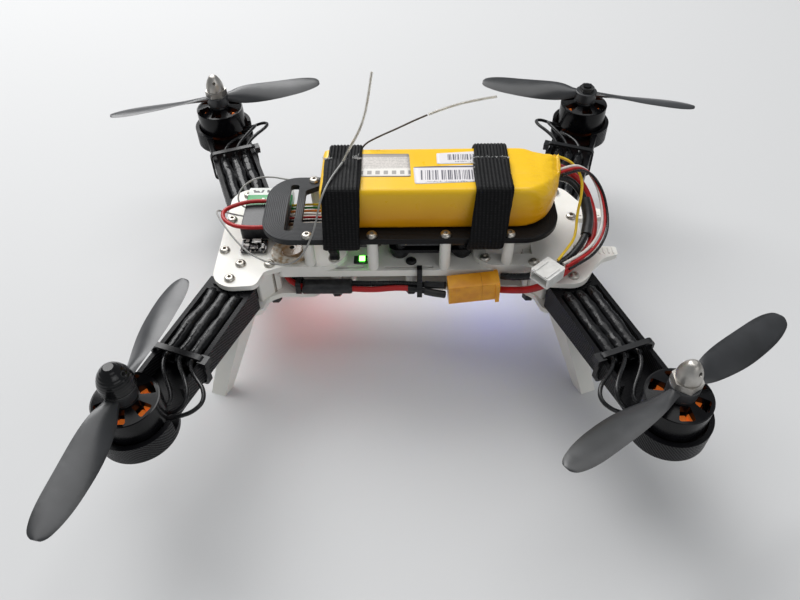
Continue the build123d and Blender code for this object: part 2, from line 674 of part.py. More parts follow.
def blade_section(radius, chord, thick, sweep_back):
    """A thin blade section across the blade at one radius, twisted to the screw's pitch."""
    twist = min(ROOT_TWIST, math.degrees(math.atan(PROP_PITCH / (2 * math.pi * radius))))
    front = -chord * 0.42 + sweep_back
    back = chord * 0.58 + sweep_back
    middle = (front + back) / 2
    upper = ThreePointArc((front, 0), (middle, thick), (back, 0))
    lower = ThreePointArc((back, 0), (middle, -thick * 0.35), (front, 0))
    face = make_face(upper + lower)
    return Plane(origin=(radius, 0, HUB_Z), x_dir=(0, 1, 0), z_dir=(1, 0, 0)) * Rot(0, 0, twist) * face


def propeller(name, side):
    """A two-blade screw with its blades at this corner's resting angle."""
    sections = []
    for radius, chord, thick, lag in BLADE_STATIONS:
        sections.append(blade_section(radius, chord, thick, lag))
    blade = loft(sections)
    if side[0] * side[1] > 0:
        blade = mirror(blade, about=Plane.XZ)
    hub = rod(0, 0, HUB_Z - PROP_HUB_H / 2, PROP_HUB_R, PROP_HUB_H)
    hub = fillet(hub.edges().filter_by(GeomType.CIRCLE), 0.6)
    prop = hub + blade + Rot(0, 0, 180) * blade
    prop -= rod(0, 0, HUB_Z - 5, SHAFT_R + 0.05, 10)
    x, y = motor_spot(side)
    return Pos(x, y, 0) * Rot(0, 0, BLADE_ANGLE[name]) * prop


def prop_nut(name, side):
    """The nut on the propeller shaft: cone, domed spinner or thin hexagon."""
    z0 = HUB_Z + PROP_HUB_H / 2
    style = NUT_STYLE[name]
    bore = SHAFT_R + 0.03
    if style == "cone":
        nut = extrude(RegularPolygon(6.4, 6), 3.4)
        shape = (
            Line((0, 3.4), (5.2, 3.4))
            + ThreePointArc((5.2, 3.4), (4.5, 8.2), (2.6, 11.7))
            + ThreePointArc((2.6, 11.7), (1.9, 12.4), (1.0, 12.8))
            + Line((1.0, 12.8), (0, 12.8))
            + Line((0, 12.8), (0, 3.4))
        )
        nut += revolve(Rot(90, 0, 0) * make_face(shape), Axis.Z)
        nut -= Pos(0, 0, 9.4) * Rot(90, 0, 0) * Cylinder(0.9, 20)
    elif style == "spinner":
        shape = (
            Line((0, 0), (7.4, 0))
            + Line((7.4, 0), (7.4, 1.6))
            + ThreePointArc((7.4, 1.6), (5.9, 8.2), (2.0, 12.6))
            + Line((2.0, 12.6), (0, 12.6))
            + Line((0, 12.6), (0, 0))
        )
        nut = revolve(Rot(90, 0, 0) * make_face(shape), Axis.Z)
        nut -= Pos(0, 0, 9.0) * Rot(90, 0, 0) * Cylinder(0.9, 20)
    else:
        nut = extrude(RegularPolygon(4.4, 6), 2.6)
    nut -= rod(0, 0, -1, bore, SHAFT_TOP - z0 + 1.3)
    x, y = motor_spot(side)
    return Pos(x, y, z0) * Rot(0, 0, BLADE_ANGLE[name]) * nut


# ---------------------------------------------------------------- arm electrics
def speed_controllers():
    """A speed controller in heat shrink in each arm, with three bullet connectors on it."""
    body = rounded(8.5, 49.0, -8.6, 8.6, 9.4, 13.4, 1.6)
    body = fillet(body.edges().filter_by(Axis.X), 0.9)
    parts = []
    for side in CORNERS.values():
        parts.append(to_corner(on_arm(body), side))
        for y in PLUG_Y:
            plug = Rot(0, 90, 0) * Cylinder(PLUG_R, PLUG_X1 - PLUG_X0)
            plug = Pos((PLUG_X0 + PLUG_X1) / 2, y, PLUG_Z) * plug
            parts.append(to_corner(on_arm(plug), side))
    return group(parts)


def motor_wires():
    """Three leads from each motor, looped over the arm's inner wall to the bullet plugs."""
    parts = []
    for side in CORNERS.values():
        for index, route in enumerate(MOTOR_WIRE_ROUTES):
            label = f"motor_wire_{index}" if side == (1, 1) else ""
            parts.append(to_corner(on_arm(wire(route, MOTOR_WIRE_R, label)), side))
    return group(parts)


def zip_ties():
    """A tie round each arm and two round the power harness."""
    parts = []
    low, high = TIE_Z
    band = rounded(-ARM_HALF_W - 1.5, ARM_HALF_W + 1.5, low - 1.2, high + 1.2, 0, TIE_W, 3)
    band -= rounded(-ARM_HALF_W - 0.3, ARM_HALF_W + 0.3, low, high, -1, TIE_W + 1, 2)
    lock = block(ARM_HALF_W - 1.0, ARM_HALF_W + 3.2, high - 3.6, high + 0.2, -1.0, TIE_W + 1.0)
    lock -= block(-ARM_HALF_W, ARM_HALF_W + 0.3, low, high, -2, TIE_W + 2)
    tie = Plane(origin=(TIE_X, 0, 0), x_dir=(0, 1, 0), z_dir=(1, 0, 0)) * (band + lock)
    for side in CORNERS.values():
        parts.append(to_corner(on_arm(tie), side))
    over_edge = [
        (-21.5, 20.0, 1), (-26.1, 20.0, 1), (-26.6, 14.5, 1), (-30.9, 11.5, 1), (-30.9, 5.2, 1),
        (-21.5, 5.2, 1),
    ]
    over_edge_gap = [
        (-22.6, 18.95, 0), (-25.0, 18.95, 0), (-25.5, 14.0, 0), (-29.7, 11.0, 1), (-29.7, 6.3, 1),
        (-22.6, 6.3, 1),
    ]
    bundle = [(-28.0, 5.2, 1.5), (-28.0, 12.4, 1.5), (-16.2, 12.4, 1.5), (-16.2, 5.2, 1.5)]
    bundle_gap = [(-27.0, 6.2, 1), (-27.0, 11.4, 1), (-17.2, 11.4, 1), (-17.2, 6.2, 1)]
    shapes = ((over_edge, over_edge_gap), (bundle, bundle_gap))
    for x, (outer, gap) in zip(HARNESS_TIE_X, shapes):
        ring = extrude(outline(outer) - outline(gap), 2.6)
        parts.append(Plane(origin=(x, 0, 0), x_dir=(0, 1, 0), z_dir=(1, 0, 0)) * ring)
    return group(parts)


# ---------------------------------------------------------------- battery and power leads
def battery_pack():
    """The shrink-wrapped cell pack with its pinched end."""
    x0, x1 = BATTERY_X
    body = block(x0, x1, -BATTERY_HALF_W, BATTERY_HALF_W, BATTERY_Z, BATTERY_TOP)
    body = fillet(body.edges().filter_by(Axis.Z), 5.0)
    body = fillet(body.faces().sort_by(Axis.Z)[-1].edges(), 2.5)
    across = Plane(x_dir=(0, 1, 0), z_dir=(1, 0, 0), origin=(0, 0, 0))
    root = Pos(x1 - 2, 3, 51.6) * across * RectangleRounded(26, 20, 4)
    tip = Pos(BATTERY_END_X, 6.6, 54.0) * across * RectangleRounded(20, 13, 3)
    return body + loft([root, tip], ruled=True)


def battery_strap(x0, x1):
    """An elastic strap round the pack and the top plate."""
    outer = [
        (-18.6, 64.9, 1.6), (18.6, 64.9, 1.6), (26.9, 40.6, 2), (26.9, 34.8, 1.6), (-26.9, 34.8, 1.6),
        (-26.9, 40.6, 2),
    ]
    inner = [
        (-17.8, 63.3, 0.5), (17.8, 63.3, 0.5), (25.2, 40.3, 0.5), (25.2, 36.4, 0.3), (-25.2, 36.4, 0.3),
        (-25.2, 40.3, 0.5),
    ]
    ring = extrude(outline(outer) - outline(inner), x1 - x0)
    return Plane(origin=(x0, 0, 0), x_dir=(0, 1, 0), z_dir=(1, 0, 0)) * ring


def battery_leads():
    """The pack's two thick discharge leads."""
    return group([wire(BLACK_LEAD, MAIN_LEAD_R, "black_lead"), wire(RED_LEAD, MAIN_LEAD_R, "red_lead")])


def balance_leads():
    """Four thin wires from the pack to the charger's balance plug."""
    wires = [wire(YELLOW_WIRE, BALANCE_R, "balance_yellow")]
    for index, (dx, dy, dz) in enumerate(OUTER_OFFSETS):
        wires.append(wire(shift(OUTER_WIRE, dx, dy, dz), BALANCE_R, f"balance_outer_{index}"))
    return group(wires)


def balance_plug():
    """The white four-way plug on the end of the balance leads."""
    body = rounded(-6.4, 6.0, -5.4, 5.4, -3.0, 3.0, 0.8)
    body -= block(-7, 1.0, -4.6, 4.6, -2.0, 2.0)
    for y in (-3.6, -1.2, 1.2, 3.6):
        body -= block(-2, 7, y - 0.75, y + 0.75, -0.75, 0.75)
    for y in (-3.4, 3.4):
        body += block(-6.0, 3.0, y - 0.7, y + 0.7, 2.9, 3.6)
    return Pos(*PLUG_CENTRE) * Rot(0, 0, PLUG_TURN) * body


def connector_shell(x0, x1):
    """One half of the two-pole battery connector, before it is tilted."""
    body = block(x0, x1, -4.1, 4.1, -7.9, 7.9)
    long_edges = body.edges().filter_by(Axis.X)
    body = chamfer(long_edges.sort_by(Axis.Z)[:2], 2.0)
    return fillet(body.edges().filter_by(Axis.X).sort_by(Axis.Z)[-2:], 0.6)


def place_connector(shape):
    """Hang the connector beside the plates, leaning out a little."""
    middle = Axis((CONNECTOR_MIDDLE, 0, 0), (0, -0.68, 0.73))
    return Pos(0, -29.9, 11.2) * (Rot(10, 0, 0) * shape).rotate(middle, CONNECTOR_TURN)


def power_plug_frame_side():
    """The frame's half of the battery connector."""
    body = connector_shell(23.2, 39.8)
    body -= block(37.8, 40.8, -3.1, 3.1, -5.6, 6.9)
    for z in (-3.6, 3.6):
        pin = Pos(36.8, 0, z) * Rot(0, 90, 0) * Cylinder(1.75, 5)
        body += pin
    for x in (25.0, 27.0):
        body += block(x, x + 0.8, -4.3, -4.0, -5.4, 7.0)
    return place_connector(body)


def power_plug_battery_side():
    """The pack's half of the battery connector, which plugs into the other."""
    body = connector_shell(39.9, 48.6)
    for z in (-3.6, 3.6):
        body -= Pos(41.8, 0, z) * Rot(0, 90, 0) * Cylinder(1.9, 8)
    body += block(46.6, 48.6, -4.8, -4.0, -7.6, 7.4)
    body += block(46.6, 48.6, 4.0, 4.8, -5.4, 7.4)
    return place_connector(body)


def harness_leads():
    """Supply leads: connector to power board, and power board to the four speed controllers."""
    leads = [wire(HARNESS_BLACK, HARNESS_R, "harness_black"), wire(HARNESS_RED, HARNESS_R, "harness_red")]
    for side in CORNERS.values():
        for route in (FEED_INNER, FEED_OUTER):
            leads.append(to_corner(wire(route, FEED_R, "feed" if side == (1, 1) else ""), side))
    return group(leads)


def cable_sleeves():
    """Heat shrink on the harness and on the pack's black lead."""
    sleeve = rounded(-50.5, -25.0, -29.0, -21.4, 5.6, 11.6, 0.5)
    sleeve = fillet(sleeve.edges().filter_by(Axis.X), 2.4)
    for route in (HARNESS_BLACK, HARNESS_RED):
        sleeve -= wire(route, HARNESS_R)
    bend = wire(BLACK_LEAD[6:9], 2.7)
    for route in (BLACK_LEAD, RED_LEAD):
        bend -= wire(route, MAIN_LEAD_R)
    ends = []
    for route in (HARNESS_BLACK, HARNESS_RED):
        covered = [part_way(route[0], route[1], 0.05), route[1], part_way(route[1], route[2], 0.5)]
        ends.append(wire(covered, HARNESS_R + 0.4) - wire(route, HARNESS_R))
    return group([sleeve, bend] + ends)


# ---------------------------------------------------------------- radio gear
def receiver():
    """The radio receiver's case with its crystal cover and lead sockets."""
    body = rounded(-82.0, -58.0, -5.6, 28.8, 23.8, 30.2, 1.2)
    body = fillet(body.faces().sort_by(Axis.Z)[-1].edges(), 0.8)
    for index in range(SIGNAL_COUNT):
        y = 17.0 - 2.6 * index
        body -= block(-61.0, -57.0, y - 0.9, y + 0.9, 25.8, 28.2)
    return body


def antenna_coax():
    """Two thin coaxial leads from the receiver to the aerial tubes."""
    return group([wire(COAX_A, COAX_R, "coax_a"), wire(COAX_B, COAX_R, "coax_b")])


def antenna_tubes():
    """Two springy clear tubes that hold the aerial tips clear of the body."""
    return group([wire(route, TUBE_OUTER_R, "aerial_tube") for route in AERIAL_TUBES])


def receiver_leads():
    """The looped supply wire and the row of signal leads to the flight controller."""
    wires = [wire(POWER_WIRE, POWER_WIRE_R, "power_wire")]
    for index in range(SIGNAL_COUNT):
        y0 = 17.0 - 2.6 * index
        y1 = 10.4 - 2.5 * index
        y2 = 7.62 - 2.54 * index
        route = [
            (-60.9, y0, 27.0), (-55, y0 - 0.4, 27.6), (-47, (y0 + y1) / 2, 30.4), (-38, y1, 32.8),
            (-27, y1 - 0.5, 33.4), (-16, (y1 + y2) / 2, 33.2), (-7.4, y2, 32.6),
        ]
        wires.append(wire(route, SIGNAL_R, "signal" if index == 0 else ""))
    return group(wires)


def regulator_board():
    """The voltage regulator, and beside it a round sounder wrapped in clear film."""
    board = rounded(-81.4, -68.4, -15.0, -6.2, 22.6, 24.0, 0.8)
    for x, y, w, d, h in (
        (-78.6, -12.4, 3.0, 3.6, 1.2), (-74.2, -13.2, 3.6, 1.8, 1.4), (-73.4, -9.0, 4.6, 3.4, 2.0),
        (-78.8, -8.2, 2.4, 2.0, 1.0), (-70.2, -12.0, 1.6, 3.6, 1.0),
    ):
        board += block(x - w / 2, x + w / 2, y - d / 2, y + d / 2, 23.9, 24.0 + h)
    x0, x1, y0, y1 = SOUNDER
    radius = (y1 - y0) / 2 - 0.01
    wrap = slab(outline([(x0, y0, radius), (x0, y1, radius), (x1, y1, radius), (x1, y0, radius)]), 22.1, 2.4)
    wrap = fillet(wrap.faces().sort_by(Axis.Z)[-1].edges(), 0.7)
    drum_x = (x0 + x1) / 2 + 1.4
    drum = rod(drum_x, (y0 + y1) / 2, 24.4, 5.4, 1.6) - rod(drum_x, (y0 + y1) / 2, 25.0, 1.2, 4)
    return group([board, wrap + drum])


# ---------------------------------------------------------------- boards
def power_board():
    """The board that splits the battery supply to the four speed controllers."""
    board = rounded(-27, 27, -10.4, 10.4, 5.0, 6.6, 2)
    for x, y in ((-24, -7.6), (-24, 7.6), (24, -7.6), (24, 7.6)):
        board += rod(x, y, LOWER_T, 1.6, 2.5)
        board -= rod(x, y, LOWER_T - 1, 0.8, 9)
    for x in (-15, -5, 5, 15):
        for y in (-8.2, 8.2):
            board += block(x - 1.8, x + 1.8, y - 1.2, y + 1.2, 6.5, 7.1)
    return board + rounded(-4, 4, -3, 3, 6.5, 8.8, 0.8)


def led_boards():
    """Two light strips under the belly, and a small status lamp on the main plate."""
    parts = []
    for x in LED_X:
        strip = block(x - 4.5, x + 4.5, -15, 15, -1.0, -0.02)
        for y in (-10, 0, 10):
            lamp = block(x - 2.5, x + 2.5, y - 2.5, y + 2.5, -2.6, -0.9)
            strip += lamp - rod(x, y, -3, 1.9, 0.7)
        parts.append(strip)
    status = block(-24.0, -15.6, -19.4, -14.6, CLAMP_Z, CLAMP_Z + 1.0)
    status += block(-21.2, -18.4, -18.4, -15.6, CLAMP_Z + 0.9, CLAMP_Z + 1.9)
    return group(parts + [status])


def on_fc(shape):
    """Move a shape from the board's own centre to its place on the aircraft."""
    return Pos(FC_X, 0, FC_Z) * shape


def fc_holes():
    """The four fixing places of the board."""
    half = FC_PITCH / 2
    return [(x, y) for x in (-half, half) for y in (-half, half)]


def flight_controller_board():
    """The control board itself, with its edge pads and small parts."""
    half = FC_SIZE / 2
    board = slab(RectangleRounded(FC_SIZE, FC_SIZE, 3.5), 0, FC_T)
    for x, y in fc_holes():
        board -= rod(x, y, -1, 1.6, 4)
    for index in range(8):
        board -= rod(half - 1.5, -8.9 + 2.54 * index, -1, 0.5, 4)
    for x, y, turned in SMALL_PARTS:
        w, d = (0.6, 1.2) if turned else (1.2, 0.6)
        board += block(x - w, x + w, y - d, y + d, FC_T - 0.1, FC_T + 0.6)
    return on_fc(board)


def fc_chips():
    """Processor, motion sensor, barometer, memory, crystal and the button's housing."""
    parts = [
        rounded(-4.0, 4.0, -4.0, 4.0, FC_T, FC_T + 1.4, 0.3),
        rounded(-1.6, 1.6, 7.2, 10.4, FC_T, FC_T + 0.9, 0.2),
        rounded(6.4, 9.6, 6.0, 8.6, FC_T, FC_T + 1.0, 0.2),
        rounded(7.0, 12.0, -4.0, 0.0, FC_T, FC_T + 1.5, 0.2),
        rounded(-9.6, -6.4, -9.0, -6.5, FC_T, FC_T + 1.0, 0.3),
    ]
    housing = rounded(7.6, 11.4, -9.6, -6.4, FC_T, FC_T + 1.5, 0.3)
    housing -= rod(BUTTON_X, BUTTON_Y, FC_T + 0.5, BUTTON_R + 0.06, 3)
    parts.append(housing)
    return on_fc(group(parts))


def fc_boot_button():
    """The sprung plunger of the board's start button."""
    stem = rod(BUTTON_X, BUTTON_Y, FC_T + 0.5 + BUTTON_TRAVEL + 0.05, BUTTON_R, 1.2)
    return on_fc(fillet(stem.edges().filter_by(GeomType.CIRCLE).sort_by(Axis.Z)[-1], 0.15))


def fc_pin_headers():
    """Right-angle pin rows on three sides, with their plastic bars."""
    parts = []
    for index in range(8):
        y = 8.89 - 2.54 * index
        bar = block(-16.8, -14.4, y - 1.2, y + 1.2, FC_T, FC_T + 2.4)
        bar += block(-22.4, -16.7, y - 0.32, y + 0.32, FC_T + 1.1, FC_T + 1.75)
        parts.append(bar)
    for index in range(6):
        x = -6.35 + 2.54 * index
        bar = block(x - 1.2, x + 1.2, 13.2, 15.6, FC_T, FC_T + 2.4)
        bar += block(x - 0.32, x + 0.32, 15.5, 18.4, FC_T + 1.1, FC_T + 1.75)
        parts.append(bar)
    return on_fc(group(parts))


def fc_usb_socket():
    """The small USB socket on the board's near edge."""
    shell = rounded(-3.8, 3.8, -18.6, -13.2, FC_T, FC_T + 2.6, 0.5)
    shell -= block(-3.3, 3.3, -19, -14.0, FC_T + 0.35, FC_T + 2.25)
    shell += block(-2.4, 2.4, -18.0, -13.8, FC_T + 1.1, FC_T + 1.6)
    return on_fc(shell)


def fc_tray():
    """The damped tray that carries the board on four posts."""
    tray = Pos(FC_X, 0, 0) * slab(RectangleRounded(42, 37, 4), TRAY_Z, TRAY_T)
    tray -= Pos(FC_X, 0, 0) * slab(RectangleRounded(20, 18, 3), TRAY_Z - 1, 5)
    for x, y in fc_holes():
        post = rod(FC_X + x, y, TRAY_Z + TRAY_T - 0.1, 2.6, FC_Z - TRAY_Z - TRAY_T + 0.1)
        tray += post + rod(FC_X + x, y, FC_Z - 0.1, 1.5, FC_T + 1.2)
    return tray


def fc_dampers():
    """Four rubber balls between the tray and the main plate."""
    parts = []
    low = CLAMP_Z
    high = TRAY_Z
    middle = (low + high) / 2
    for x in (-DAMPER_X, DAMPER_X):
        for y in (-DAMPER_Y, DAMPER_Y):
            shape = (
                Line((0, low), (3.2, low))
                + ThreePointArc((3.2, low), (5.0, middle), (3.2, high))
                + Line((3.2, high), (0, high))
                + Line((0, high), (0, low))
            )
            ball = revolve(Rot(90, 0, 0) * make_face(shape), Axis.Z)
            parts.append(Pos(FC_X + x, y, 0) * ball)
    return group(parts)


# ---------------------------------------------------------------- write every node
def main():
    os.makedirs("parts", exist_ok=True)
    for make in (
        main_plate, lower_plate, front_clamp, rear_clamp, top_plate, standoffs, top_plate_screws,
        frame_screws, nylon_screws, motor_bases, motor_bearings, stator_cores, stator_windings,
        speed_controllers, motor_wires, zip_ties, battery_pack, battery_leads, balance_leads,
        balance_plug, power_plug_frame_side, power_plug_battery_side, harness_leads, cable_sleeves,
        receiver, antenna_coax, antenna_tubes, receiver_leads, regulator_board, power_board,
        led_boards, flight_controller_board, fc_chips, fc_boot_button, fc_pin_headers,
        fc_usb_socket, fc_tray, fc_dampers,
    ):
        save(make.__name__, make())
    save("battery_strap_rear", battery_strap(*REAR_STRAP_X))
    save("battery_strap_front", battery_strap(*FRONT_STRAP_X))
    for name, side in CORNERS.items():
        save("leg_" + name, to_corner(leg(), side))
        save("arm_" + name, to_corner(arm(), side))
        save("motor_bell_" + name, motor_bell(side))
        save("propeller_" + name, propeller(name, side))
        save("prop_nut_" + name, prop_nut(name, side))


main()
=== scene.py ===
"""Looks for the quadcopter: procedural materials on the CAD nodes, and detailed soft pieces."""

import math
import random

import bmesh
import bpy
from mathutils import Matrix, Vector, noise


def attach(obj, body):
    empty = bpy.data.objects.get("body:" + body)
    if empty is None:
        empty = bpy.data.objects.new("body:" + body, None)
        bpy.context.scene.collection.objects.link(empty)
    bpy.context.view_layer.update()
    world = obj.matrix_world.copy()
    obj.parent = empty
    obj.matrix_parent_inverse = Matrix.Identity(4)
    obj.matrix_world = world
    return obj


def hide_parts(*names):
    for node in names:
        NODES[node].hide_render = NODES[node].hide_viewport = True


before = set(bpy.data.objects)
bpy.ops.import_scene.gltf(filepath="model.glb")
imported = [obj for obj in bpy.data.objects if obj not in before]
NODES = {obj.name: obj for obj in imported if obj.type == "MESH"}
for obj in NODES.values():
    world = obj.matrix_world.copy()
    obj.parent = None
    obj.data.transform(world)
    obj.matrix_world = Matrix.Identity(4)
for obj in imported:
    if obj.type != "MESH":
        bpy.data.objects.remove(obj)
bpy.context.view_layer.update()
MM = 0.001
AIRFRAME = "airframe"

MOTOR_X = 112.6
MOTOR_Y = 109.0
ARM_BOLT = (84.2, 32.3)
CORNERS = {
    "front_right": (1, -1),
    "front_left": (1, 1),
    "rear_right": (-1, -1),
    "rear_left": (-1, 1),
}


# ---------------------------------------------------------------- material helpers
class Paint:
    """A Principled material and the nodes that feed it."""

    def __init__(self, name, color, rough, metal=0.0, **sockets):
        self.material = bpy.data.materials.new(name)
        self.material.use_nodes = True
        self.tree = self.material.node_tree
        self.shader = self.tree.nodes["Principled BSDF"]
        self.set("Base Color", (*color, 1))
        self.set("Roughness", rough)
        self.set("Metallic", metal)
        for key, value in sockets.items():
            self.set(key.replace("_", " "), value)
        self.position = self.tree.nodes.new("ShaderNodeTexCoord").outputs["Object"]

    def set(self, socket, value):
        self.shader.inputs[socket].default_value = value

    def join(self, source, target):
        if isinstance(source, (int, float)):
            target.default_value = source
        elif isinstance(source, tuple):
            target.default_value = (*source, 1) if len(target.default_value) == 4 else source
        else:
            self.tree.links.new(source, target)

    def calc(self, operation, a, b=0.0, clamp=False):
        node = self.tree.nodes.new("ShaderNodeMath")
        node.operation = operation
        node.use_clamp = clamp
        self.join(a, node.inputs[0])
        self.join(b, node.inputs[1])
        return node.outputs[0]

    def axis(self, index, source=None):
        node = self.tree.nodes.new("ShaderNodeSeparateXYZ")
        self.join(source or self.position, node.inputs[0])
        return node.outputs[index]

    def vector(self, x, y, z):
        node = self.tree.nodes.new("ShaderNodeCombineXYZ")
        for value, target in zip((x, y, z), node.inputs):
            self.join(value, target)
        return node.outputs[0]

    def stretched(self, x, y, z, turn=0.0):
        node = self.tree.nodes.new("ShaderNodeMapping")
        self.join(self.position, node.inputs[0])
        node.inputs["Scale"].default_value = (x, y, z)
        node.inputs["Rotation"].default_value = (0, 0, math.radians(turn))
        return node.outputs[0]

    def noise(self, size_mm, detail=3.0, vector=None):
        node = self.tree.nodes.new("ShaderNodeTexNoise")
        node.inputs["Scale"].default_value = 1 / (size_mm * MM)
        node.inputs["Detail"].default_value = detail
        self.join(vector or self.position, node.inputs["Vector"])
        return node.outputs["Fac"]

    def waves(self, along, period_mm):
        """Smooth ridges, 0 to 1, along a value in metres."""
        turns = self.calc("MULTIPLY", along, 2 * math.pi / (period_mm * MM))
        return self.half_sine(turns)

    def half_sine(self, angle):
        sine = self.calc("SINE", angle)
        return self.calc("ADD", self.calc("MULTIPLY", sine, 0.5), 0.5)

    def between(self, value, low_mm, high_mm):
        above = self.calc("GREATER_THAN", value, low_mm * MM)
        return self.calc("MULTIPLY", above, self.calc("LESS_THAN", value, high_mm * MM))

    def steps(self, value, low, high):
        node = self.tree.nodes.new("ShaderNodeMapRange")
        node.inputs["From Min"].default_value = low
        node.inputs["From Max"].default_value = high
        self.join(value, node.inputs["Value"])
        return node.outputs[0]

    def mix(self, share, a, b):
        node = self.tree.nodes.new("ShaderNodeMix")
        node.data_type = "RGBA"
        self.join(share, node.inputs[0])
        self.join(a, node.inputs[6])
        self.join(b, node.inputs[7])
        return node.outputs[2]

    def color(self, source):
        self.join(source, self.shader.inputs["Base Color"])
        return self

    def mottle(self, a, b, size_mm, low=0.35, high=0.65):
        return self.color(self.mix(self.steps(self.noise(size_mm), low, high), a, b))

    def rough(self, low, high, size_mm):
        share = self.noise(size_mm, 4)
        value = self.calc("ADD", self.calc("MULTIPLY", share, (high - low) * 1.6), low - (high - low) * 0.3)
        self.join(value, self.shader.inputs["Roughness"])
        return self

    def bump(self, height, depth_mm, strength=1.0):
        node = self.tree.nodes.new("ShaderNodeBump")
        node.inputs["Distance"].default_value = depth_mm * MM
        node.inputs["Strength"].default_value = strength
        self.join(height, node.inputs["Height"])
        target = self.shader.inputs["Normal"]
        if target.is_linked:
            self.join(target.links[0].from_socket, node.inputs["Normal"])
        self.join(node.outputs[0], target)
        return self

    def facing_up(self):
        """1 where the surface is level, 0 on its sides."""
        geometry = self.tree.nodes.new("ShaderNodeNewGeometry")
        level = self.calc("ABSOLUTE", self.axis(2, geometry.outputs["True Normal"]))
        return self.calc("GREATER_THAN", level, 0.9)

    def toned(self, color, amount=0.6):
        """A given colour mixed in along convex edges: lighter on the black nuts, darker on the propellers.
        """
        geometry = self.tree.nodes.new("ShaderNodeNewGeometry")
        edge = self.steps(geometry.outputs["Pointiness"], 0.53, 0.6)
        base = self.shader.inputs["Base Color"]
        under = base.links[0].from_socket if base.is_linked else tuple(base.default_value)[:3]
        self.color(self.mix(self.calc("MULTIPLY", edge, amount), under, color))
        return self


def printed(name, base, dark, rough, side_mm=0.3, top_mm=0.45, depth=0.02, turn=45):
    """Printed plastic: layer lines on its sides and fill lines on its level faces."""
    paint = Paint(name, base, rough)
    paint.mottle(base, dark, 22)
    level = paint.facing_up()
    sides = paint.waves(paint.axis(2), side_mm)
    fill = paint.waves(paint.axis(0, paint.stretched(1, 1, 1, turn)), top_mm)
    on_top = paint.calc("MULTIPLY", fill, level)
    on_sides = paint.calc("MULTIPLY", sides, paint.calc("SUBTRACT", 1.0, level))
    paint.bump(paint.calc("ADD", on_top, on_sides), depth)
    paint.bump(paint.noise(0.5, 2), depth * 0.7)
    return paint


def dress(paint, *names):
    """Give CAD nodes a material."""
    for name in names:
        slots = NODES[name].data.materials
        slots.clear()
        slots.append(paint.material)


# ---------------------------------------------------------------- materials
WHITE = printed("printed_white", (0.86, 0.84, 0.79), (0.79, 0.77, 0.71), 0.5)
WHITE.set("Subsurface Weight", 0.08)
WHITE.set("Subsurface Radius", (0.004, 0.003, 0.002))

BLACK_PRINT = printed(
    "printed_black", (0.006, 0.006, 0.007), (0.011, 0.011, 0.012), 0.34,
    side_mm=0.35, top_mm=1.1, depth=0.05, turn=62,
)
BLACK_PRINT.bump(BLACK_PRINT.noise(1.4, 5), 0.05)
BLACK_PRINT.set("Specular IOR Level", 0.12)
SLANT = BLACK_PRINT.calc("ADD", BLACK_PRINT.calc("MULTIPLY", BLACK_PRINT.axis(0), 1.3), BLACK_PRINT.axis(2))
# Painted highlight: the slanted ridges on the arms' sides are painted lighter than the black plastic, as if
# light caught them; the same mask raises them as bumps.
RIDGE_AND_HIGHLIGHT = BLACK_PRINT.steps(BLACK_PRINT.waves(SLANT, 1.7), 0.45, 0.85)
RIDGE_AND_HIGHLIGHT = BLACK_PRINT.calc("MULTIPLY", RIDGE_AND_HIGHLIGHT, BLACK_PRINT.calc("SUBTRACT", 1.0, BLACK_PRINT.facing_up()))
BLACK_PRINT.color(BLACK_PRINT.mix(RIDGE_AND_HIGHLIGHT, (0.004, 0.004, 0.005), (0.042, 0.042, 0.044)))
BLACK_PRINT.bump(RIDGE_AND_HIGHLIGHT, 0.14)


def grey_plate():
    """The upper plate: fill lines that run round parallel to its outline."""
    paint = Paint("printed_grey", (0.02, 0.02, 0.02), 0.42)
    # Painted light and shade: the rear end is painted grey as if lit by the light from the back, and the
    # front end is painted near-black; the rear grey also varies at random in tone.
    tail = paint.steps(paint.axis(0), -0.020, -0.045)
    toned = paint.mix(paint.steps(paint.noise(16), 0.35, 0.65), (0.022, 0.023, 0.025), (0.034, 0.035, 0.038))
    paint.color(paint.mix(tail, (0.005, 0.005, 0.0055), toned))
    paint.set("Specular IOR Level", 0.22)
    corner, half_x, half_y, middle = 0.017, 0.073, 0.0248, 0.0045
    out = []
    for index, half, centre in ((0, half_x, middle), (1, half_y, 0.0)):
        distance = paint.calc("ABSOLUTE", paint.calc("SUBTRACT", paint.axis(index), centre))
        out.append(paint.calc("SUBTRACT", distance, half - corner))
    beyond = [paint.calc("MAXIMUM", value, 0.0) for value in out]
    squares = [paint.calc("POWER", value, 2.0) for value in beyond]
    outside = paint.calc("SQRT", paint.calc("ADD", *squares))
    inside = paint.calc("MINIMUM", paint.calc("MAXIMUM", *out), 0.0)
    rings = paint.waves(paint.calc("ADD", outside, inside), 0.95)
    level = paint.facing_up()
    layers = paint.waves(paint.axis(2), 0.35)
    paint.bump(paint.calc("MULTIPLY", rings, level), 0.11)
    paint.bump(paint.calc("MULTIPLY", layers, paint.calc("SUBTRACT", 1.0, level)), 0.04)
    paint.bump(paint.noise(0.7, 3), 0.03)
    return paint


GREY = grey_plate()

STEEL = Paint("screw_steel", (0.5, 0.48, 0.44), 0.3, 1.0)
STEEL.rough(0.24, 0.44, 0.8)
BELOW = STEEL.calc("LESS_THAN", STEEL.axis(2), 0.0)
PLATED = STEEL.mix(STEEL.steps(STEEL.noise(1.6), 0.45, 0.75), (0.56, 0.53, 0.48), (0.38, 0.35, 0.30))
STEEL.color(STEEL.mix(BELOW, PLATED, (0.01, 0.01, 0.011)))
STEEL.join(STEEL.calc("SUBTRACT", 1.0, BELOW), STEEL.shader.inputs["Metallic"])
STEEL.bump(STEEL.noise(0.25, 2), 0.004)

NUT_STEEL = Paint("nut_steel", (0.50, 0.48, 0.45), 0.38, 1.0)
NUT_STEEL.mottle((0.52, 0.50, 0.47), (0.34, 0.32, 0.29), 4.5, 0.35, 0.75)
NUT_STEEL.rough(0.34, 0.46, 5.0)

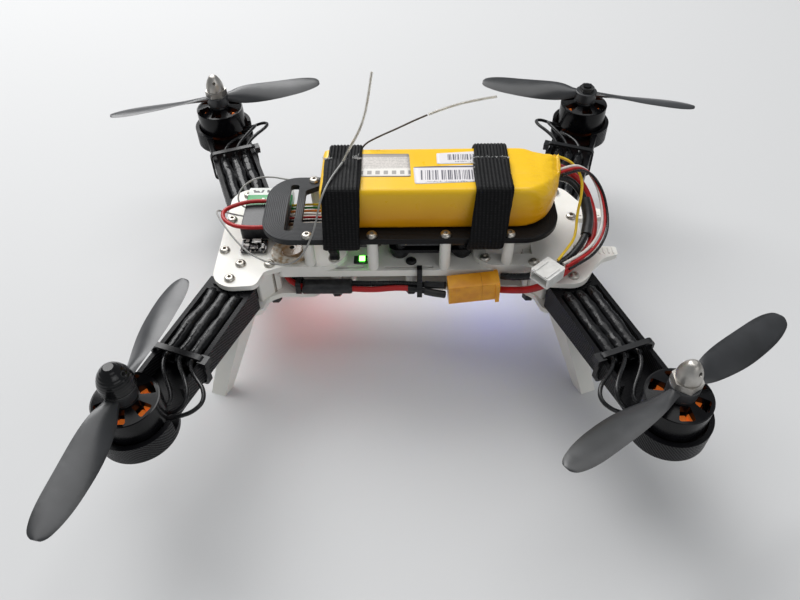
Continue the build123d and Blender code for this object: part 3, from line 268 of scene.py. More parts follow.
NUT_BLACK = Paint("nut_black", (0.003, 0.003, 0.0035), 0.16, Specular_IOR_Level=0.35)
NUT_BLACK.rough(0.10, 0.26, 3.0)
NUT_BLACK.bump(NUT_BLACK.waves(NUT_BLACK.axis(2), 1.3), 0.05)
NUT_BLACK.toned((0.06, 0.06, 0.06), 0.5)

NYLON = Paint("nylon_black", (0.006, 0.006, 0.007), 0.42, Specular_IOR_Level=0.3)
NYLON.mottle((0.006, 0.006, 0.007), (0.014, 0.014, 0.015), 1.5)
NYLON.bump(NYLON.noise(0.4, 3), 0.02)

ALLOY = Paint("motor_alloy", (0.03, 0.03, 0.032), 0.32, 0.8)
ALLOY.mottle((0.03, 0.03, 0.032), (0.06, 0.058, 0.055), 2.0)
ALLOY.bump(ALLOY.noise(0.4, 3), 0.02)

BEARING = Paint("bearing_steel", (0.6, 0.6, 0.62), 0.2, 1.0)
BEARING.rough(0.15, 0.3, 1.0)
BEARING.bump(BEARING.waves(BEARING.axis(2), 0.5), 0.01)

LAMINATION = Paint("lamination", (0.05, 0.05, 0.055), 0.4, 0.9)
LAMINATION.mottle((0.04, 0.04, 0.045), (0.09, 0.085, 0.08), 2.0)
LAMINATION.bump(LAMINATION.waves(LAMINATION.axis(2), 0.35), 0.05)

COPPER = Paint("copper_winding", (0.95, 0.25, 0.04), 0.34, 0.35, Coat_Weight=0.4)
COPPER.mottle((1.0, 0.30, 0.05), (0.75, 0.14, 0.02), 1.0)
# Painted glow: the windings give off a faint orange light so they read bright between the bell's spokes;
# copper windings are no lamp.
COPPER.set("Emission Color", (1.0, 0.22, 0.03, 1))
COPPER.set("Emission Strength", 0.3)
COPPER.bump(COPPER.waves(COPPER.axis(2), 0.42), 0.12)

BELL = Paint("bell_black", (0.002, 0.002, 0.0025), 0.2, Specular_IOR_Level=0.2)
BELL.mottle((0.002, 0.002, 0.0025), (0.005, 0.005, 0.006), 5)
BELL.rough(0.16, 0.30, 6.0)
BELL.bump(BELL.noise(3.0, 2), 0.02)

PROP = Paint("propeller_plastic", (0.022, 0.023, 0.025), 0.34, Specular_IOR_Level=0.55)
PROP.mottle((0.018, 0.019, 0.020), (0.034, 0.035, 0.038), 22)
PROP.rough(0.26, 0.40, 14)
PROP.bump(PROP.noise(0.5, 3), 0.008)
PROP.bump(PROP.noise(11, 2), 0.12)
PROP.toned((0.004, 0.004, 0.004), 0.7)

SHRINK = Paint("shrink_black", (0.003, 0.003, 0.0035), 0.24, Specular_IOR_Level=0.3)
SHRINK.mottle((0.002, 0.002, 0.0025), (0.006, 0.006, 0.007), 5)
SHRINK.rough(0.16, 0.30, 8.0)
SHRINK.bump(SHRINK.noise(2.6, 4), 0.35)
SHRINK.bump(SHRINK.noise(0.5, 3), 0.03)

SLEEVE = Paint("sleeve_grey", (0.016, 0.016, 0.017), 0.36, Specular_IOR_Level=0.4)
SLEEVE.mottle((0.010, 0.010, 0.011), (0.030, 0.030, 0.031), 4)
SLEEVE.bump(SLEEVE.noise(1.8, 4), 0.12)

TIE = Paint("tie_black", (0.005, 0.005, 0.006), 0.3, Specular_IOR_Level=0.35)
TIE.mottle((0.005, 0.005, 0.006), (0.010, 0.010, 0.011), 2)
TIE.bump(TIE.waves(TIE.axis(2), 0.7), 0.05)


def silicone(name, base, dark, rough=0.34):
    """A soft wire jacket with faint scuffs."""
    paint = Paint(name, base, rough, Specular_IOR_Level=0.4)
    paint.mottle(base, dark, 3.5)
    paint.rough(rough - 0.08, rough + 0.12, 2.0)
    paint.bump(paint.noise(0.9, 3), 0.04)
    return paint


WIRE_BLACK = silicone("wire_black", (0.005, 0.005, 0.0055), (0.010, 0.010, 0.011), 0.26)
WIRE_RED = silicone("wire_red", (0.46, 0.012, 0.012), (0.33, 0.008, 0.008))
WIRE_YELLOW = silicone("wire_yellow", (0.85, 0.58, 0.02), (0.72, 0.46, 0.02))
WIRE_WHITE = silicone("wire_white", (0.74, 0.72, 0.68), (0.62, 0.60, 0.56))
WIRE_GREEN = silicone("wire_green", (0.03, 0.24, 0.05), (0.02, 0.15, 0.04))
WIRE_ORANGE = silicone("wire_orange", (0.72, 0.20, 0.02), (0.55, 0.14, 0.02))
WIRE_BROWN = silicone("wire_brown", (0.10, 0.035, 0.015), (0.07, 0.025, 0.012))
WIRE_TWO_TONE = silicone("wire_two_tone", (0.46, 0.012, 0.012), (0.33, 0.008, 0.008))
COVERED = WIRE_TWO_TONE.calc("GREATER_THAN", WIRE_TWO_TONE.axis(0), 3.2 * MM)
WIRE_TWO_TONE.color(WIRE_TWO_TONE.mix(COVERED, (0.44, 0.012, 0.012), (0.005, 0.005, 0.006)))


def coax_paint():
    """Grey lead, browner where it is bare above the pack."""
    paint = silicone("coax_grey", (0.36, 0.36, 0.34), (0.26, 0.25, 0.24), 0.3)
    high = paint.calc("GREATER_THAN", paint.axis(2), 58 * MM)
    bare = paint.calc("MULTIPLY", high, paint.calc("GREATER_THAN", paint.axis(0), -21 * MM))
    grey = paint.mix(paint.steps(paint.noise(4), 0.35, 0.65), (0.36, 0.36, 0.34), (0.26, 0.25, 0.24))
    return paint.color(paint.mix(bare, grey, (0.075, 0.058, 0.042)))


COAX = coax_paint()
AERIAL = Paint("aerial_tube", (0.90, 0.89, 0.85), 0.14, Transmission_Weight=0.85, IOR=1.25)
AERIAL.mottle((0.92, 0.91, 0.87), (0.75, 0.73, 0.68), 9)
AERIAL.bump(AERIAL.noise(1.2, 2), 0.02)
AERIAL_CORE = Paint("aerial_core", (0.70, 0.66, 0.56), 0.3, 0.3)
AERIAL_CORE.mottle((0.74, 0.70, 0.60), (0.45, 0.40, 0.32), 3)
AERIAL_CORE.bump(AERIAL_CORE.noise(0.5, 2), 0.01)


def film():
    """The pack's glossy wrap: taut on the flats, creased at the gathered end."""
    paint = Paint("pack_film", (0.86, 0.47, 0.004), 0.3, Specular_IOR_Level=0.35, Coat_Weight=0.12)
    # Painted light and shade: by height, the top is painted a brighter yellow and the sides a darker orange,
    # standing in for the top light on a film of one colour; the sides' orange also varies at random.
    across = paint.steps(paint.axis(2), 0.044, 0.062)
    side = paint.mix(paint.steps(paint.noise(28), 0.35, 0.65), (0.80, 0.35, 0.003), (0.68, 0.27, 0.002))
    paint.color(paint.mix(across, side, (0.90, 0.54, 0.008)))
    paint.rough(0.24, 0.38, 7)
    gathered = paint.steps(paint.axis(0), 0.050, 0.072)
    folds = paint.noise(3.2, 4, paint.stretched(0.35, 1, 1))
    paint.bump(paint.calc("MULTIPLY", folds, gathered), 1.1)
    paint.bump(paint.noise(11, 2), 0.35)
    paint.bump(paint.noise(1.1, 2), 0.015)
    return paint


FILM = film()


def webbing():
    """Black elastic: a fine cross weave over the modelled ribs."""
    paint = Paint("strap_web", (0.004, 0.004, 0.005), 0.5, Specular_IOR_Level=0.14)
    weft = paint.waves(paint.calc("ADD", paint.axis(1), paint.axis(2)), 1.05)
    warp = paint.waves(paint.axis(0), 1.74)
    # Painted highlight: the raised thread crossings are painted lighter than the near-black elastic, as if
    # light caught the weave.
    thread = paint.calc("MULTIPLY", paint.steps(weft, 0.3, 0.9), paint.steps(warp, 0.35, 0.85))
    lit = paint.calc("MULTIPLY", thread, paint.steps(paint.noise(1.2, 3), 0.25, 0.75))
    paint.color(paint.mix(lit, (0.0015, 0.0015, 0.002), (0.030, 0.030, 0.031)))
    paint.bump(weft, 0.10)
    paint.bump(warp, 0.14)
    paint.bump(paint.noise(0.3, 3), 0.03)
    return paint


WEB = webbing()

FRAY = Paint("frayed_thread", (0.55, 0.54, 0.52), 0.45, Sheen_Weight=0.4)
FRAY.mottle((0.62, 0.61, 0.59), (0.30, 0.30, 0.30), 0.8)

AMBER = Paint("plug_amber", (0.83, 0.36, 0.012), 0.34, Coat_Weight=0.1)
AMBER.mottle((0.85, 0.38, 0.012), (0.72, 0.28, 0.010), 7)
AMBER.set("Subsurface Weight", 0.15)
AMBER.set("Subsurface Radius", (0.003, 0.0015, 0.0005))
AMBER.bump(AMBER.noise(0.6, 3), 0.03)

PLUG_WHITE = Paint("plug_white", (0.82, 0.81, 0.78), 0.36)
PLUG_WHITE.mottle((0.84, 0.83, 0.80), (0.72, 0.71, 0.68), 4)
PLUG_WHITE.set("Subsurface Weight", 0.1)
PLUG_WHITE.set("Subsurface Radius", (0.002, 0.002, 0.002))
PLUG_WHITE.bump(PLUG_WHITE.noise(0.6, 3), 0.03)


def receiver_label():
    """Receiver case: white and green printed bands beside bare black plastic."""
    paint = Paint("receiver_case", (0.02, 0.02, 0.02), 0.38)
    y = paint.axis(1)
    x = paint.axis(0)
    stipple = paint.noise(0.6, 1)
    white = paint.between(y, 22.4, 28.4)
    green = paint.between(y, 14.0, 22.4)
    black = (0.014, 0.014, 0.016)
    shade = paint.mix(paint.steps(stipple, 0.3, 0.7), black, (0.030, 0.030, 0.032))
    shade = paint.mix(green, shade, (0.015, 0.30, 0.075))
    shade = paint.mix(white, shade, (0.72, 0.74, 0.70))
    dots = paint.calc("GREATER_THAN", paint.noise(1.5, 0, paint.stretched(1, 0.35, 1)), 0.56)
    row = paint.calc("MULTIPLY", paint.between(y, 24.2, 26.6), paint.between(x, -80, -64))
    shade = paint.mix(paint.calc("MULTIPLY", row, dots), shade, (0.05, 0.05, 0.05))
    block_row = paint.calc("MULTIPLY", paint.between(y, 16.6, 19.8), paint.between(x, -79, -66))
    shade = paint.mix(paint.calc("MULTIPLY", block_row, dots), shade, (0.75, 0.78, 0.74))
    paint.color(shade)
    paint.bump(paint.noise(0.5, 2), 0.02)
    return paint


RECEIVER = receiver_label()


def board(name, mask, pads, hole_mm=2.2):
    """Solder mask with faint tracks and plated spots."""
    paint = Paint(name, mask, 0.28, Coat_Weight=0.3)
    lighter = tuple(min(1.0, value * 2.4 + 0.01) for value in mask)
    tracks = paint.calc("GREATER_THAN", paint.noise(1.3, 0, paint.stretched(1, 0.22, 1)), 0.56)
    shade = paint.mix(tracks, mask, lighter)
    cells = paint.tree.nodes.new("ShaderNodeTexVoronoi")
    cells.inputs["Scale"].default_value = 1 / (hole_mm * MM)
    paint.join(paint.position, cells.inputs["Vector"])
    spots = paint.calc("LESS_THAN", cells.outputs["Distance"], 0.16)
    paint.color(paint.mix(spots, shade, pads))
    paint.bump(tracks, 0.03)
    return paint


BOARD_BLACK = board("board_black", (0.006, 0.007, 0.009), (0.65, 0.45, 0.15))


def regulator_paint():
    """Black board with plated parts, and a milky film over a brown drum beside it."""
    paint = board("regulator", (0.008, 0.008, 0.009), (0.55, 0.50, 0.42), 1.9)
    x, z = paint.axis(0), paint.axis(2)
    board_shade = paint.shader.inputs["Base Color"].links[0].from_socket
    spots = paint.calc("GREATER_THAN", paint.noise(2.6, 0), 0.5)
    raised = paint.calc("MULTIPLY", paint.calc("GREATER_THAN", z, 24.9 * MM), spots)
    board_shade = paint.mix(raised, board_shade, (0.42, 0.40, 0.37))
    y = paint.axis(1)
    shifted = paint.vector(paint.calc("ADD", x, 54.9 * MM), paint.calc("ADD", y, 14.6 * MM), 0.0)
    length = paint.tree.nodes.new("ShaderNodeVectorMath")
    length.operation = "LENGTH"
    paint.join(shifted, length.inputs[0])
    patches = paint.steps(paint.noise(3.2, 3), 0.42, 0.62)
    milky = paint.mix(patches, (0.62, 0.58, 0.50), (0.33, 0.22, 0.12))
    drum = paint.calc("LESS_THAN", length.outputs["Value"], 5.6 * MM)
    milky = paint.mix(paint.calc("MULTIPLY", drum, 0.7), milky, (0.24, 0.13, 0.06))
    # Painted shade: the drum's centre hole is painted near-black for the shade inside it.
    hole_shade = paint.calc("LESS_THAN", length.outputs["Value"], 1.3 * MM)
    milky = paint.mix(hole_shade, milky, (0.02, 0.015, 0.01))
    wrap = paint.calc("GREATER_THAN", x, -66.6 * MM)
    paint.color(paint.mix(wrap, board_shade, milky))
    paint.set("Roughness", 0.22)
    paint.bump(paint.noise(2.2, 3), 0.12)
    return paint


REGULATOR = regulator_paint()

CHIP = Paint("chip_black", (0.014, 0.014, 0.015), 0.5)
CHIP.mottle((0.012, 0.012, 0.013), (0.024, 0.024, 0.026), 1.2)
CHIP.bump(CHIP.noise(0.15, 2), 0.01)

SOCKET = Paint("socket_steel", (0.6, 0.6, 0.58), 0.28, 1.0)
SOCKET.rough(0.2, 0.4, 1.2)
SOCKET.bump(SOCKET.noise(0.5, 2), 0.02)

BUTTON = Paint("button_plastic", (0.72, 0.70, 0.64), 0.4)
BUTTON.mottle((0.74, 0.72, 0.66), (0.6, 0.58, 0.52), 0.8)
BUTTON.bump(BUTTON.noise(0.2, 2), 0.01)

DAMPER = Paint("damper_rubber", (0.006, 0.006, 0.007), 0.45, Specular_IOR_Level=0.3)
DAMPER.mottle((0.005, 0.005, 0.006), (0.012, 0.012, 0.013), 2)
DAMPER.bump(DAMPER.noise(0.5, 3), 0.03)


def lamp_strip():
    """Light strips: red lamps at the tail, blue at the nose, on a black board."""
    paint = Paint("lamp_strip", (0.01, 0.01, 0.012), 0.35)
    x = paint.axis(0)
    low = paint.calc("LESS_THAN", paint.axis(2), -1.9 * MM)
    tail = paint.calc("LESS_THAN", x, 0.0)
    status = paint.calc("GREATER_THAN", paint.axis(2), 19.85 * MM)
    glow = paint.mix(tail, (0.05, 0.09, 1.0), (1.0, 0.02, 0.03))
    glow = paint.mix(status, glow, (0.10, 1.0, 0.06))
    lit = paint.calc("MAXIMUM", low, status)
    paint.color(paint.mix(lit, (0.012, 0.012, 0.014), (0.8, 0.8, 0.75)))
    paint.join(paint.mix(lit, (0.0, 0.0, 0.0), glow), paint.shader.inputs["Emission Color"])
    paint.set("Emission Strength", 14.0)
    paint.bump(paint.noise(0.6, 2), 0.02)
    return paint


LAMPS = lamp_strip()

dress(WHITE, "main_plate", "lower_plate", "front_clamp", "rear_clamp", "standoffs")
dress(GREY, "top_plate")
dress(BLACK_PRINT, "fc_tray")
dress(STEEL, "top_plate_screws", "frame_screws")
dress(NYLON, "nylon_screws")
dress(ALLOY, "motor_bases")
dress(BEARING, "motor_bearings")
dress(LAMINATION, "stator_cores")
dress(COPPER, "stator_windings")
dress(SLEEVE, "cable_sleeves")
dress(TIE, "zip_ties")
dress(AMBER, "power_plug_frame_side", "power_plug_battery_side")
dress(PLUG_WHITE, "balance_plug")
dress(RECEIVER, "receiver")
dress(REGULATOR, "regulator_board")
dress(BOARD_BLACK, "power_board", "flight_controller_board")
dress(LAMPS, "led_boards")
dress(CHIP, "fc_chips", "fc_pin_headers")
dress(SOCKET, "fc_usb_socket")
dress(BUTTON, "fc_boot_button")
dress(DAMPER, "fc_dampers")
for corner in CORNERS:
    dress(WHITE, "leg_" + corner)
    dress(BLACK_PRINT, "arm_" + corner)
    dress(BELL, "motor_bell_" + corner)
    dress(PROP, "propeller_" + corner)
    dress(NUT_STEEL if corner in ("front_right", "rear_left") else NUT_BLACK, "prop_nut_" + corner)


# ---------------------------------------------------------------- piece helpers
def piece(name, mesh, paint, slot, *replaced, smooth=True):
    """Add a mesh as a piece that rides on the airframe."""
    obj = bpy.data.objects.new(name, mesh)
    bpy.context.scene.collection.objects.link(obj)
    mesh.materials.append(paint.material)
    if smooth:
        for polygon in mesh.polygons:
            polygon.use_smooth = True
    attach(obj, AIRFRAME)
    if replaced:
        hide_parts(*replaced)
    return obj


def cable(name, routes_mm, radius_mm, paint, slot, *replaced):
    """Round wires on smooth splines, one for each route."""
    curve = bpy.data.curves.new(name, "CURVE")
    curve.dimensions = "3D"
    curve.bevel_depth = radius_mm * MM
    curve.bevel_resolution = 4
    curve.resolution_u = 10
    curve.use_fill_caps = True
    for route in routes_mm:
        spline = curve.splines.new("NURBS")
        spline.points.add(len(route) - 1)
        for point, place in zip(spline.points, route):
            point.co = (*(value * MM for value in place), 1)
        spline.order_u = 3
        spline.use_endpoint_u = True
    curve.materials.append(paint.material)
    obj = bpy.data.objects.new(name, curve)
    bpy.context.scene.collection.objects.link(obj)
    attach(obj, AIRFRAME)
    if replaced:
        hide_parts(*replaced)
    return obj


def shift(route, dx=0.0, dy=0.0, dz=0.0):
    return [(x + dx, y + dy, z + dz) for x, y, z in route]


def arm_place(point, side):
    """A point in an arm's own frame, moved to one corner of the aircraft. Millimetres."""
    angle = math.atan2(MOTOR_Y - ARM_BOLT[1], MOTOR_X - ARM_BOLT[0])
    x, y, z = point
    px = ARM_BOLT[0] + x * math.cos(angle) - y * math.sin(angle)
    py = ARM_BOLT[1] + x * math.sin(angle) + y * math.cos(angle)
    return side[0] * px, side[1] * py, z


def grid_mesh(name, rows, closed_u=False, closed_v=False):
    """A quad surface through rows of points in millimetres."""
    mesh = bpy.data.meshes.new(name)
    count = len(rows[0])
    points = [tuple(value * MM for value in point) for row in rows for point in row]
    faces = []
    for i in range(len(rows) - (0 if closed_u else 1)):
        j = (i + 1) % len(rows)
        for k in range(count - (0 if closed_v else 1)):
            m = (k + 1) % count
            faces.append((i * count + k, i * count + m, j * count + m, j * count + k))
    mesh.from_pydata(points, [], faces)
    mesh.update()
    return mesh


def tidy_normals(mesh):
    work = bmesh.new()
    work.from_mesh(mesh)
    bmesh.ops.remove_doubles(work, verts=work.verts, dist=1e-6)
    bmesh.ops.recalc_face_normals(work, faces=work.faces)
    work.to_mesh(mesh)
    work.free()
    return mesh


# ---------------------------------------------------------------- camera and free cords
CAMERA_PLACE = (0.00323, -0.27303, 0.26495)
CAMERA_YAW = math.radians(-0.968)
CAMERA_PITCH = math.radians(47.135)
CAMERA_ROLL = math.radians(-1.174)
LENS_MM = 31.454


def camera():
    """The view from near the right side, looking down at the aircraft."""
    data = bpy.data.cameras.new("camera")
    data.lens = LENS_MM
    data.sensor_width = 36
    data.clip_start = 0.01
    data.clip_end = 50
    obj = bpy.data.objects.new("camera", data)
    bpy.context.scene.collection.objects.link(obj)
    level = Vector((math.sin(CAMERA_YAW), math.cos(CAMERA_YAW), 0))
    right = Vector((math.cos(CAMERA_YAW), -math.sin(CAMERA_YAW), 0))
    up = Vector((0, 0, 1))
    ahead = level * math.cos(CAMERA_PITCH) - up * math.sin(CAMERA_PITCH)
    above = up * math.cos(CAMERA_PITCH) + level * math.sin(CAMERA_PITCH)
    side = right * math.cos(CAMERA_ROLL) + above * math.sin(CAMERA_ROLL)
    top = -right * math.sin(CAMERA_ROLL) + above * math.cos(CAMERA_ROLL)
    matrix = obj.matrix_world.copy()
    for row in range(3):
        matrix[row][0] = side[row]
        matrix[row][1] = top[row]
        matrix[row][2] = -ahead[row]
        matrix[row][3] = CAMERA_PLACE[row]
    obj.matrix_world = matrix
    bpy.context.scene.camera = obj


camera()

YELLOW_ROUTE = [
    (76.2, 15.6, 58.2), (82, 17.0, 56.0), (87.6, 14.6, 52.8), (90.6, 8.4, 49.6), (90.2, 2.4, 43.6),
    (88.2, -3.4, 36.8), (87.2, -10.4, 32.2), (85.0, -17.0, 31.8), (81.6, -23.0, 33.2), (78.0, -28.8, 34.0),
    (74.6, -33.0, 33.2),
]
OUTER_ROUTE = [
    (76.2, 4.6, 57.6), (82, 8.0, 57.2), (88.6, 12.6, 54.6), (95.0, 14.0, 49.4), (99.6, 8.8, 43.4),
    (101.0, 0.4, 38.0), (100.2, -8.6, 34.6), (96.2, -17.2, 32.8), (90.4, -25.0, 32.6), (83.6, -30.8, 33.0),
    (77.0, -35.0, 32.8),
]
BALANCE_MM = 1.4
BALANCE_CORDS = [
    ("balance_yellow", YELLOW_ROUTE, WIRE_YELLOW, 0.0726),
    ("balance_white", OUTER_ROUTE, WIRE_WHITE, 0.0875),
    ("balance_red", shift(OUTER_ROUTE, 1.2, -1.4, -0.4), WIRE_RED, 0.0875),
    ("balance_black", shift(OUTER_ROUTE, 2.4, -2.8, -0.8), WIRE_BLACK, 0.0875),
]
for name, route, paint, length in BALANCE_CORDS:
    lead = cable(name, [route], BALANCE_MM / 2, paint, "wire_mixed", "balance_leads")

# ---------------------------------------------------------------- wires held by the aircraft
BLACK_LEAD = [
    (49.7, -26.6, 16.4), (57, -28.8, 17.8), (64, -31.8, 21.4), (71, -32.4, 25.8), (79, -28.8, 28.0),
    (86, -22.5, 30.0), (91.5, -14, 32.2), (94, -4.4, 35.6), (92.6, 4, 40.2), (88.4, 9.2, 45),
    (82.4, 10.2, 49), (76.3, 8.0, 51.0),
]
RED_LEAD = [
    (49.9, -29.2, 9.3), (57, -32.2, 11.8), (64, -36.6, 17.0), (70.6, -39.2, 24.0), (79, -34.0, 26.4),
    (87, -26.4, 27.6), (93.6, -17.6, 28.6), (97.4, -6.4, 31.6), (96.6, 4.6, 36.8), (92.8, 12.4, 42.6),
    (86.4, 16.0, 47.6), (80.8, 14.8, 51.6), (76.4, 12.4, 54.6),
]
HARNESS_BLACK = [
    (22.4, -27.5, 11.1), (15.6, -25.8, 9.6), (8.2, -24.2, 8.4), (-2, -23.4, 8.6), (-14, -24.4, 9.4),
    (-26, -23.6, 9.0), (-38, -23.4, 8.4), (-49, -22.6, 8.2), (-57.2, -17.6, 8.6), (-55, -9.8, 9.0),
    (-44, -7.0, 9.0), (-33, -6.4, 8.6), (-27.6, -6.0, 8.2),
]
HARNESS_RED = [
    (22.4, -30.3, 7.1), (15.6, -29.2, 7.4), (8.2, -27.4, 8.2), (-2, -26.8, 9.0), (-14, -27.8, 8.4),
    (-26, -26.8, 8.4), (-38, -26.6, 8.4), (-50, -26.2, 8.2), (-61.0, -18.6, 9.2), (-58.4, -6.4, 9.4),
    (-46, -2.6, 9.2), (-35, -2.2, 8.6), (-27.6, -2.2, 8.2),
]
FEED_INNER = [
    (27.4, 3.2, 5.8), (36, 4.2, 6.8), (50, 4.8, 8.6), (61, 4.0, 9.2), (68.2, 5.2, 9.2),
    (72.25, 13.3, 9.2), (82.74, 41.6, 9.2),
]
FEED_OUTER = [
    (27.4, 0.4, 5.8), (36, 1.0, 6.8), (50, 1.4, 8.6), (66, 1.2, 9.2), (77.6, 1.6, 9.2),
    (80.87, 10.1, 9.2), (91.37, 38.4, 9.2),
]
cable("pack_lead_black", [BLACK_LEAD], 1.8, WIRE_BLACK, "wire_red", "battery_leads")
cable("pack_lead_red", [RED_LEAD], 1.8, WIRE_RED, "wire_red", "battery_leads")
cable("harness_lead_black", [HARNESS_BLACK], 1.5, WIRE_BLACK, "wire_red", "harness_leads")
cable("harness_lead_red", [HARNESS_RED], 1.5, WIRE_TWO_TONE, "wire_red", "harness_leads")
for name, route, paint in (("feeds_red", FEED_INNER, WIRE_RED), ("feeds_black", FEED_OUTER, WIRE_BLACK)):
    copies = [[(x * sx, y * sy, z) for x, y, z in route] for sx, sy in CORNERS.values()]
    cable(name, copies, 1.1, paint, "wire_red", "harness_leads")

COAX_A = [
    (-82.5, 15.6, 27.0), (-85.8, 16.6, 28.4), (-87.0, 20.2, 31.4), (-84.4, 25.8, 33.8), (-78.0, 31.0, 35.0),
    (-69.4, 31.6, 35.2), (-61, 29.6, 34.6), (-52, 28.4, 34.0), (-42, 28.8, 34.2), (-33, 29.8, 36.0),
    (-26, 29.6, 41.0), (-22.4, 27.2, 49.0), (-19.8, 22.8, 58.0), (-17.2, 19.0, 64.4), (-10.5, 18.2, 68.8),
    (-0.9, 18.2, 73.5), (7.0, 18.6, 77.5), (13.2, 18.9, 80.2),
]
COAX_B = [
    (-82.5, 9.2, 26.6), (-88.6, 9.8, 27.4), (-94.2, 9.6, 30.2), (-95.4, 5.4, 33.6), (-92.6, -1.0, 34.2),
    (-87.6, -8.0, 32.6), (-81.6, -15.6, 30.6), (-74.0, -22.6, 28.8), (-65.6, -26.8, 27.4),
    (-57.4, -28.4, 26.8), (-50.4, -27.8, 29.2), (-46.0, -26.9, 35.4), (-42.8, -26.4, 42.0),
    (-39.8, -24.8, 49.6), (-37.8, -23.2, 58.0), (-35.2, -20.6, 65.0), (-32.4, -13.0, 66.8),
    (-29.6, -5.4, 66.8), (-27.4, 0.2, 66.8),
]
AERIAL_TUBES = [
    [
        (-27.2, 0.8, 67.0), (-24.4, 4.2, 71.0), (-20.4, 5.4, 77.4), (-17.0, 7.0, 84.4), (-14.4, 10.2, 93.4),
        (-12.2, 15.2, 105.0),
    ],
    [(13.8, 19.0, 80.4), (22.3, 19.7, 83.5), (32.6, 21.0, 86.0), (46.0, 22.4, 87.5)],
]
cable("coax_leads", [COAX_A, COAX_B], 0.45, COAX, "wire_grey", "antenna_coax")
cable("aerial_cores", AERIAL_TUBES, 0.22, AERIAL_CORE, "aerial_tube")
cable("aerial_tubes", AERIAL_TUBES, 0.65, AERIAL, "aerial_tube", "antenna_tubes")

POWER_WIRE = [
    (-64.0, 14.2, 32.0), (-72, 15.0, 32.0), (-80, 14.6, 32.0), (-87, 12.2, 31.6), (-92.4, 7.0, 32.2),
    (-91.0, 0.2, 32.2), (-85.4, -4.4, 31.8), (-78, -6.0, 32.0), (-70, -6.2, 32.2), (-63, -5.8, 32.4),
]
cable("receiver_supply", [POWER_WIRE], 1.1, WIRE_RED, "wire_mixed", "receiver_leads")
SIGNAL_PAINTS = [WIRE_YELLOW, WIRE_GREEN, WIRE_ORANGE, WIRE_WHITE, WIRE_RED, WIRE_BLACK, WIRE_BROWN]
for index, paint in enumerate(SIGNAL_PAINTS):
    y0 = 17.0 - 2.6 * index
    y1 = 10.4 - 2.5 * index
    y2 = 7.62 - 2.54 * index
    route = [
        (-60.9, y0, 27.0), (-55, y0 - 0.4, 27.6), (-47, (y0 + y1) / 2, 30.4), (-38, y1, 32.8),
        (-27, y1 - 0.5, 33.4), (-16, (y1 + y2) / 2, 33.2), (-7.4, y2, 32.6),
    ]
    cable(f"signal_lead_{index}", [route], 0.65, paint, "wire_mixed", "receiver_leads")

MOTOR_WIRE_ROUTES = [
    [
        (43.9, 6.2, 16.6), (49, 7.6, 18.3), (54, 11.2, 20.4), (58.2, 17, 21.6), (62, 23, 22),
        (67.3, 26, 21.2), (72.2, 23.4, 19.4), (74.6, 18.4, 17.0), (76.2, 13.6, 15.3), (78.6, 9.8, 15.0),
    ],
    [
        (43.9, 0, 16.6), (49.5, 1.8, 18.9), (55, 6.4, 21.2), (60, 12.4, 22.6), (65.6, 17.6, 22.4),
        (70.6, 18.4, 19.8), (73.2, 15.0, 16.6), (74.6, 10.6, 15.2), (77.0, 7.0, 15.0),
    ],
    [
        (43.9, -6.2, 16.6), (50, -5.6, 18.2), (56, -2.4, 18.9), (61, 2.6, 18.6), (65.2, 7.2, 17.2),
        (69.2, 9.6, 15.6), (73.0, 7.4, 15.0), (75.6, 4.2, 15.0),
    ],
]
for corner, side in CORNERS.items():
    routes = [[arm_place(point, side) for point in route] for route in MOTOR_WIRE_ROUTES]
    cable("motor_leads_" + corner, routes, 0.95, WIRE_BLACK, "wire_black", "motor_wires")


# ---------------------------------------------------------------- speed controllers
def lumpy_tube(side, y, seed):
    """A bullet connector and its leads under loose heat shrink."""
    rows = []
    steps = 46
    for i in range(steps + 1):
        t = i / steps
        x = 5.0 + 45.5 * t
        wander = Vector((x * 0.09, seed * 7.3, side[0] * 3.1 + side[1]))
        dy = 0.7 * noise.noise(wander)
        dz = 0.5 * noise.noise(wander + Vector((0, 5, 0)))
        radius = 3.1 + 0.35 * noise.noise(Vector((x * 0.22, seed * 3.7, side[0] + 2.0 * side[1])))
        radius += 0.35 * math.exp(-(((x - 30) / 4.5) ** 2))
        if t > 0.84:
            radius -= 1.9 * ((t - 0.84) / 0.16) ** 1.5
        if t < 0.03:
            radius *= 0.8
        row = []
        for k in range(20):
            angle = 2 * math.pi * k / 20
            around = Vector((x * 0.35, math.cos(angle) * 1.5 + seed, math.sin(angle) * 1.5))
            r = radius + 0.22 * noise.noise(around)
            place = (x, y + dy + r * math.cos(angle), 16.2 + dz + 0.92 * r * math.sin(angle))
            row.append(arm_place(place, side))
        rows.append(row)
    return rows


def speed_controllers(corner, side):
    work = bmesh.new()
    for seed, y in enumerate((-6.2, 0.0, 6.2)):
        part = grid_mesh("part", lumpy_tube(side, y, seed), closed_v=True)
        work.from_mesh(part)
    body_rows = []
    body = [
        (8.4, 7.4, 1.4), (8.9, 8.4, 1.9), (12, 8.7, 2.1), (46, 8.7, 2.1), (48.6, 8.4, 1.9), (49.1, 7.4, 1.4),
    ]
    for x, half_y, half_z in body:
        row = []
        for k in range(28):
            angle = 2 * math.pi * k / 28
            c, s = math.cos(angle), math.sin(angle)
            y = math.copysign(abs(c) ** 0.35, c) * half_y
            z = math.copysign(abs(s) ** 0.5, s) * half_z
            row.append(arm_place((x, y, 11.3 + z), side))
        body_rows.append(row)
    work.from_mesh(grid_mesh("part", body_rows, closed_v=True))
    loops = [edge for edge in work.edges if edge.is_boundary]
    bmesh.ops.holes_fill(work, edges=loops, sides=0)
    bmesh.ops.recalc_face_normals(work, faces=work.faces)
    mesh = bpy.data.meshes.new("controller_bundle")
    work.to_mesh(mesh)
    work.free()
    piece("controller_bundle_" + corner, mesh, SHRINK, "shrink_black", "speed_controllers")


for corner, side in CORNERS.items():
    speed_controllers(corner, side)


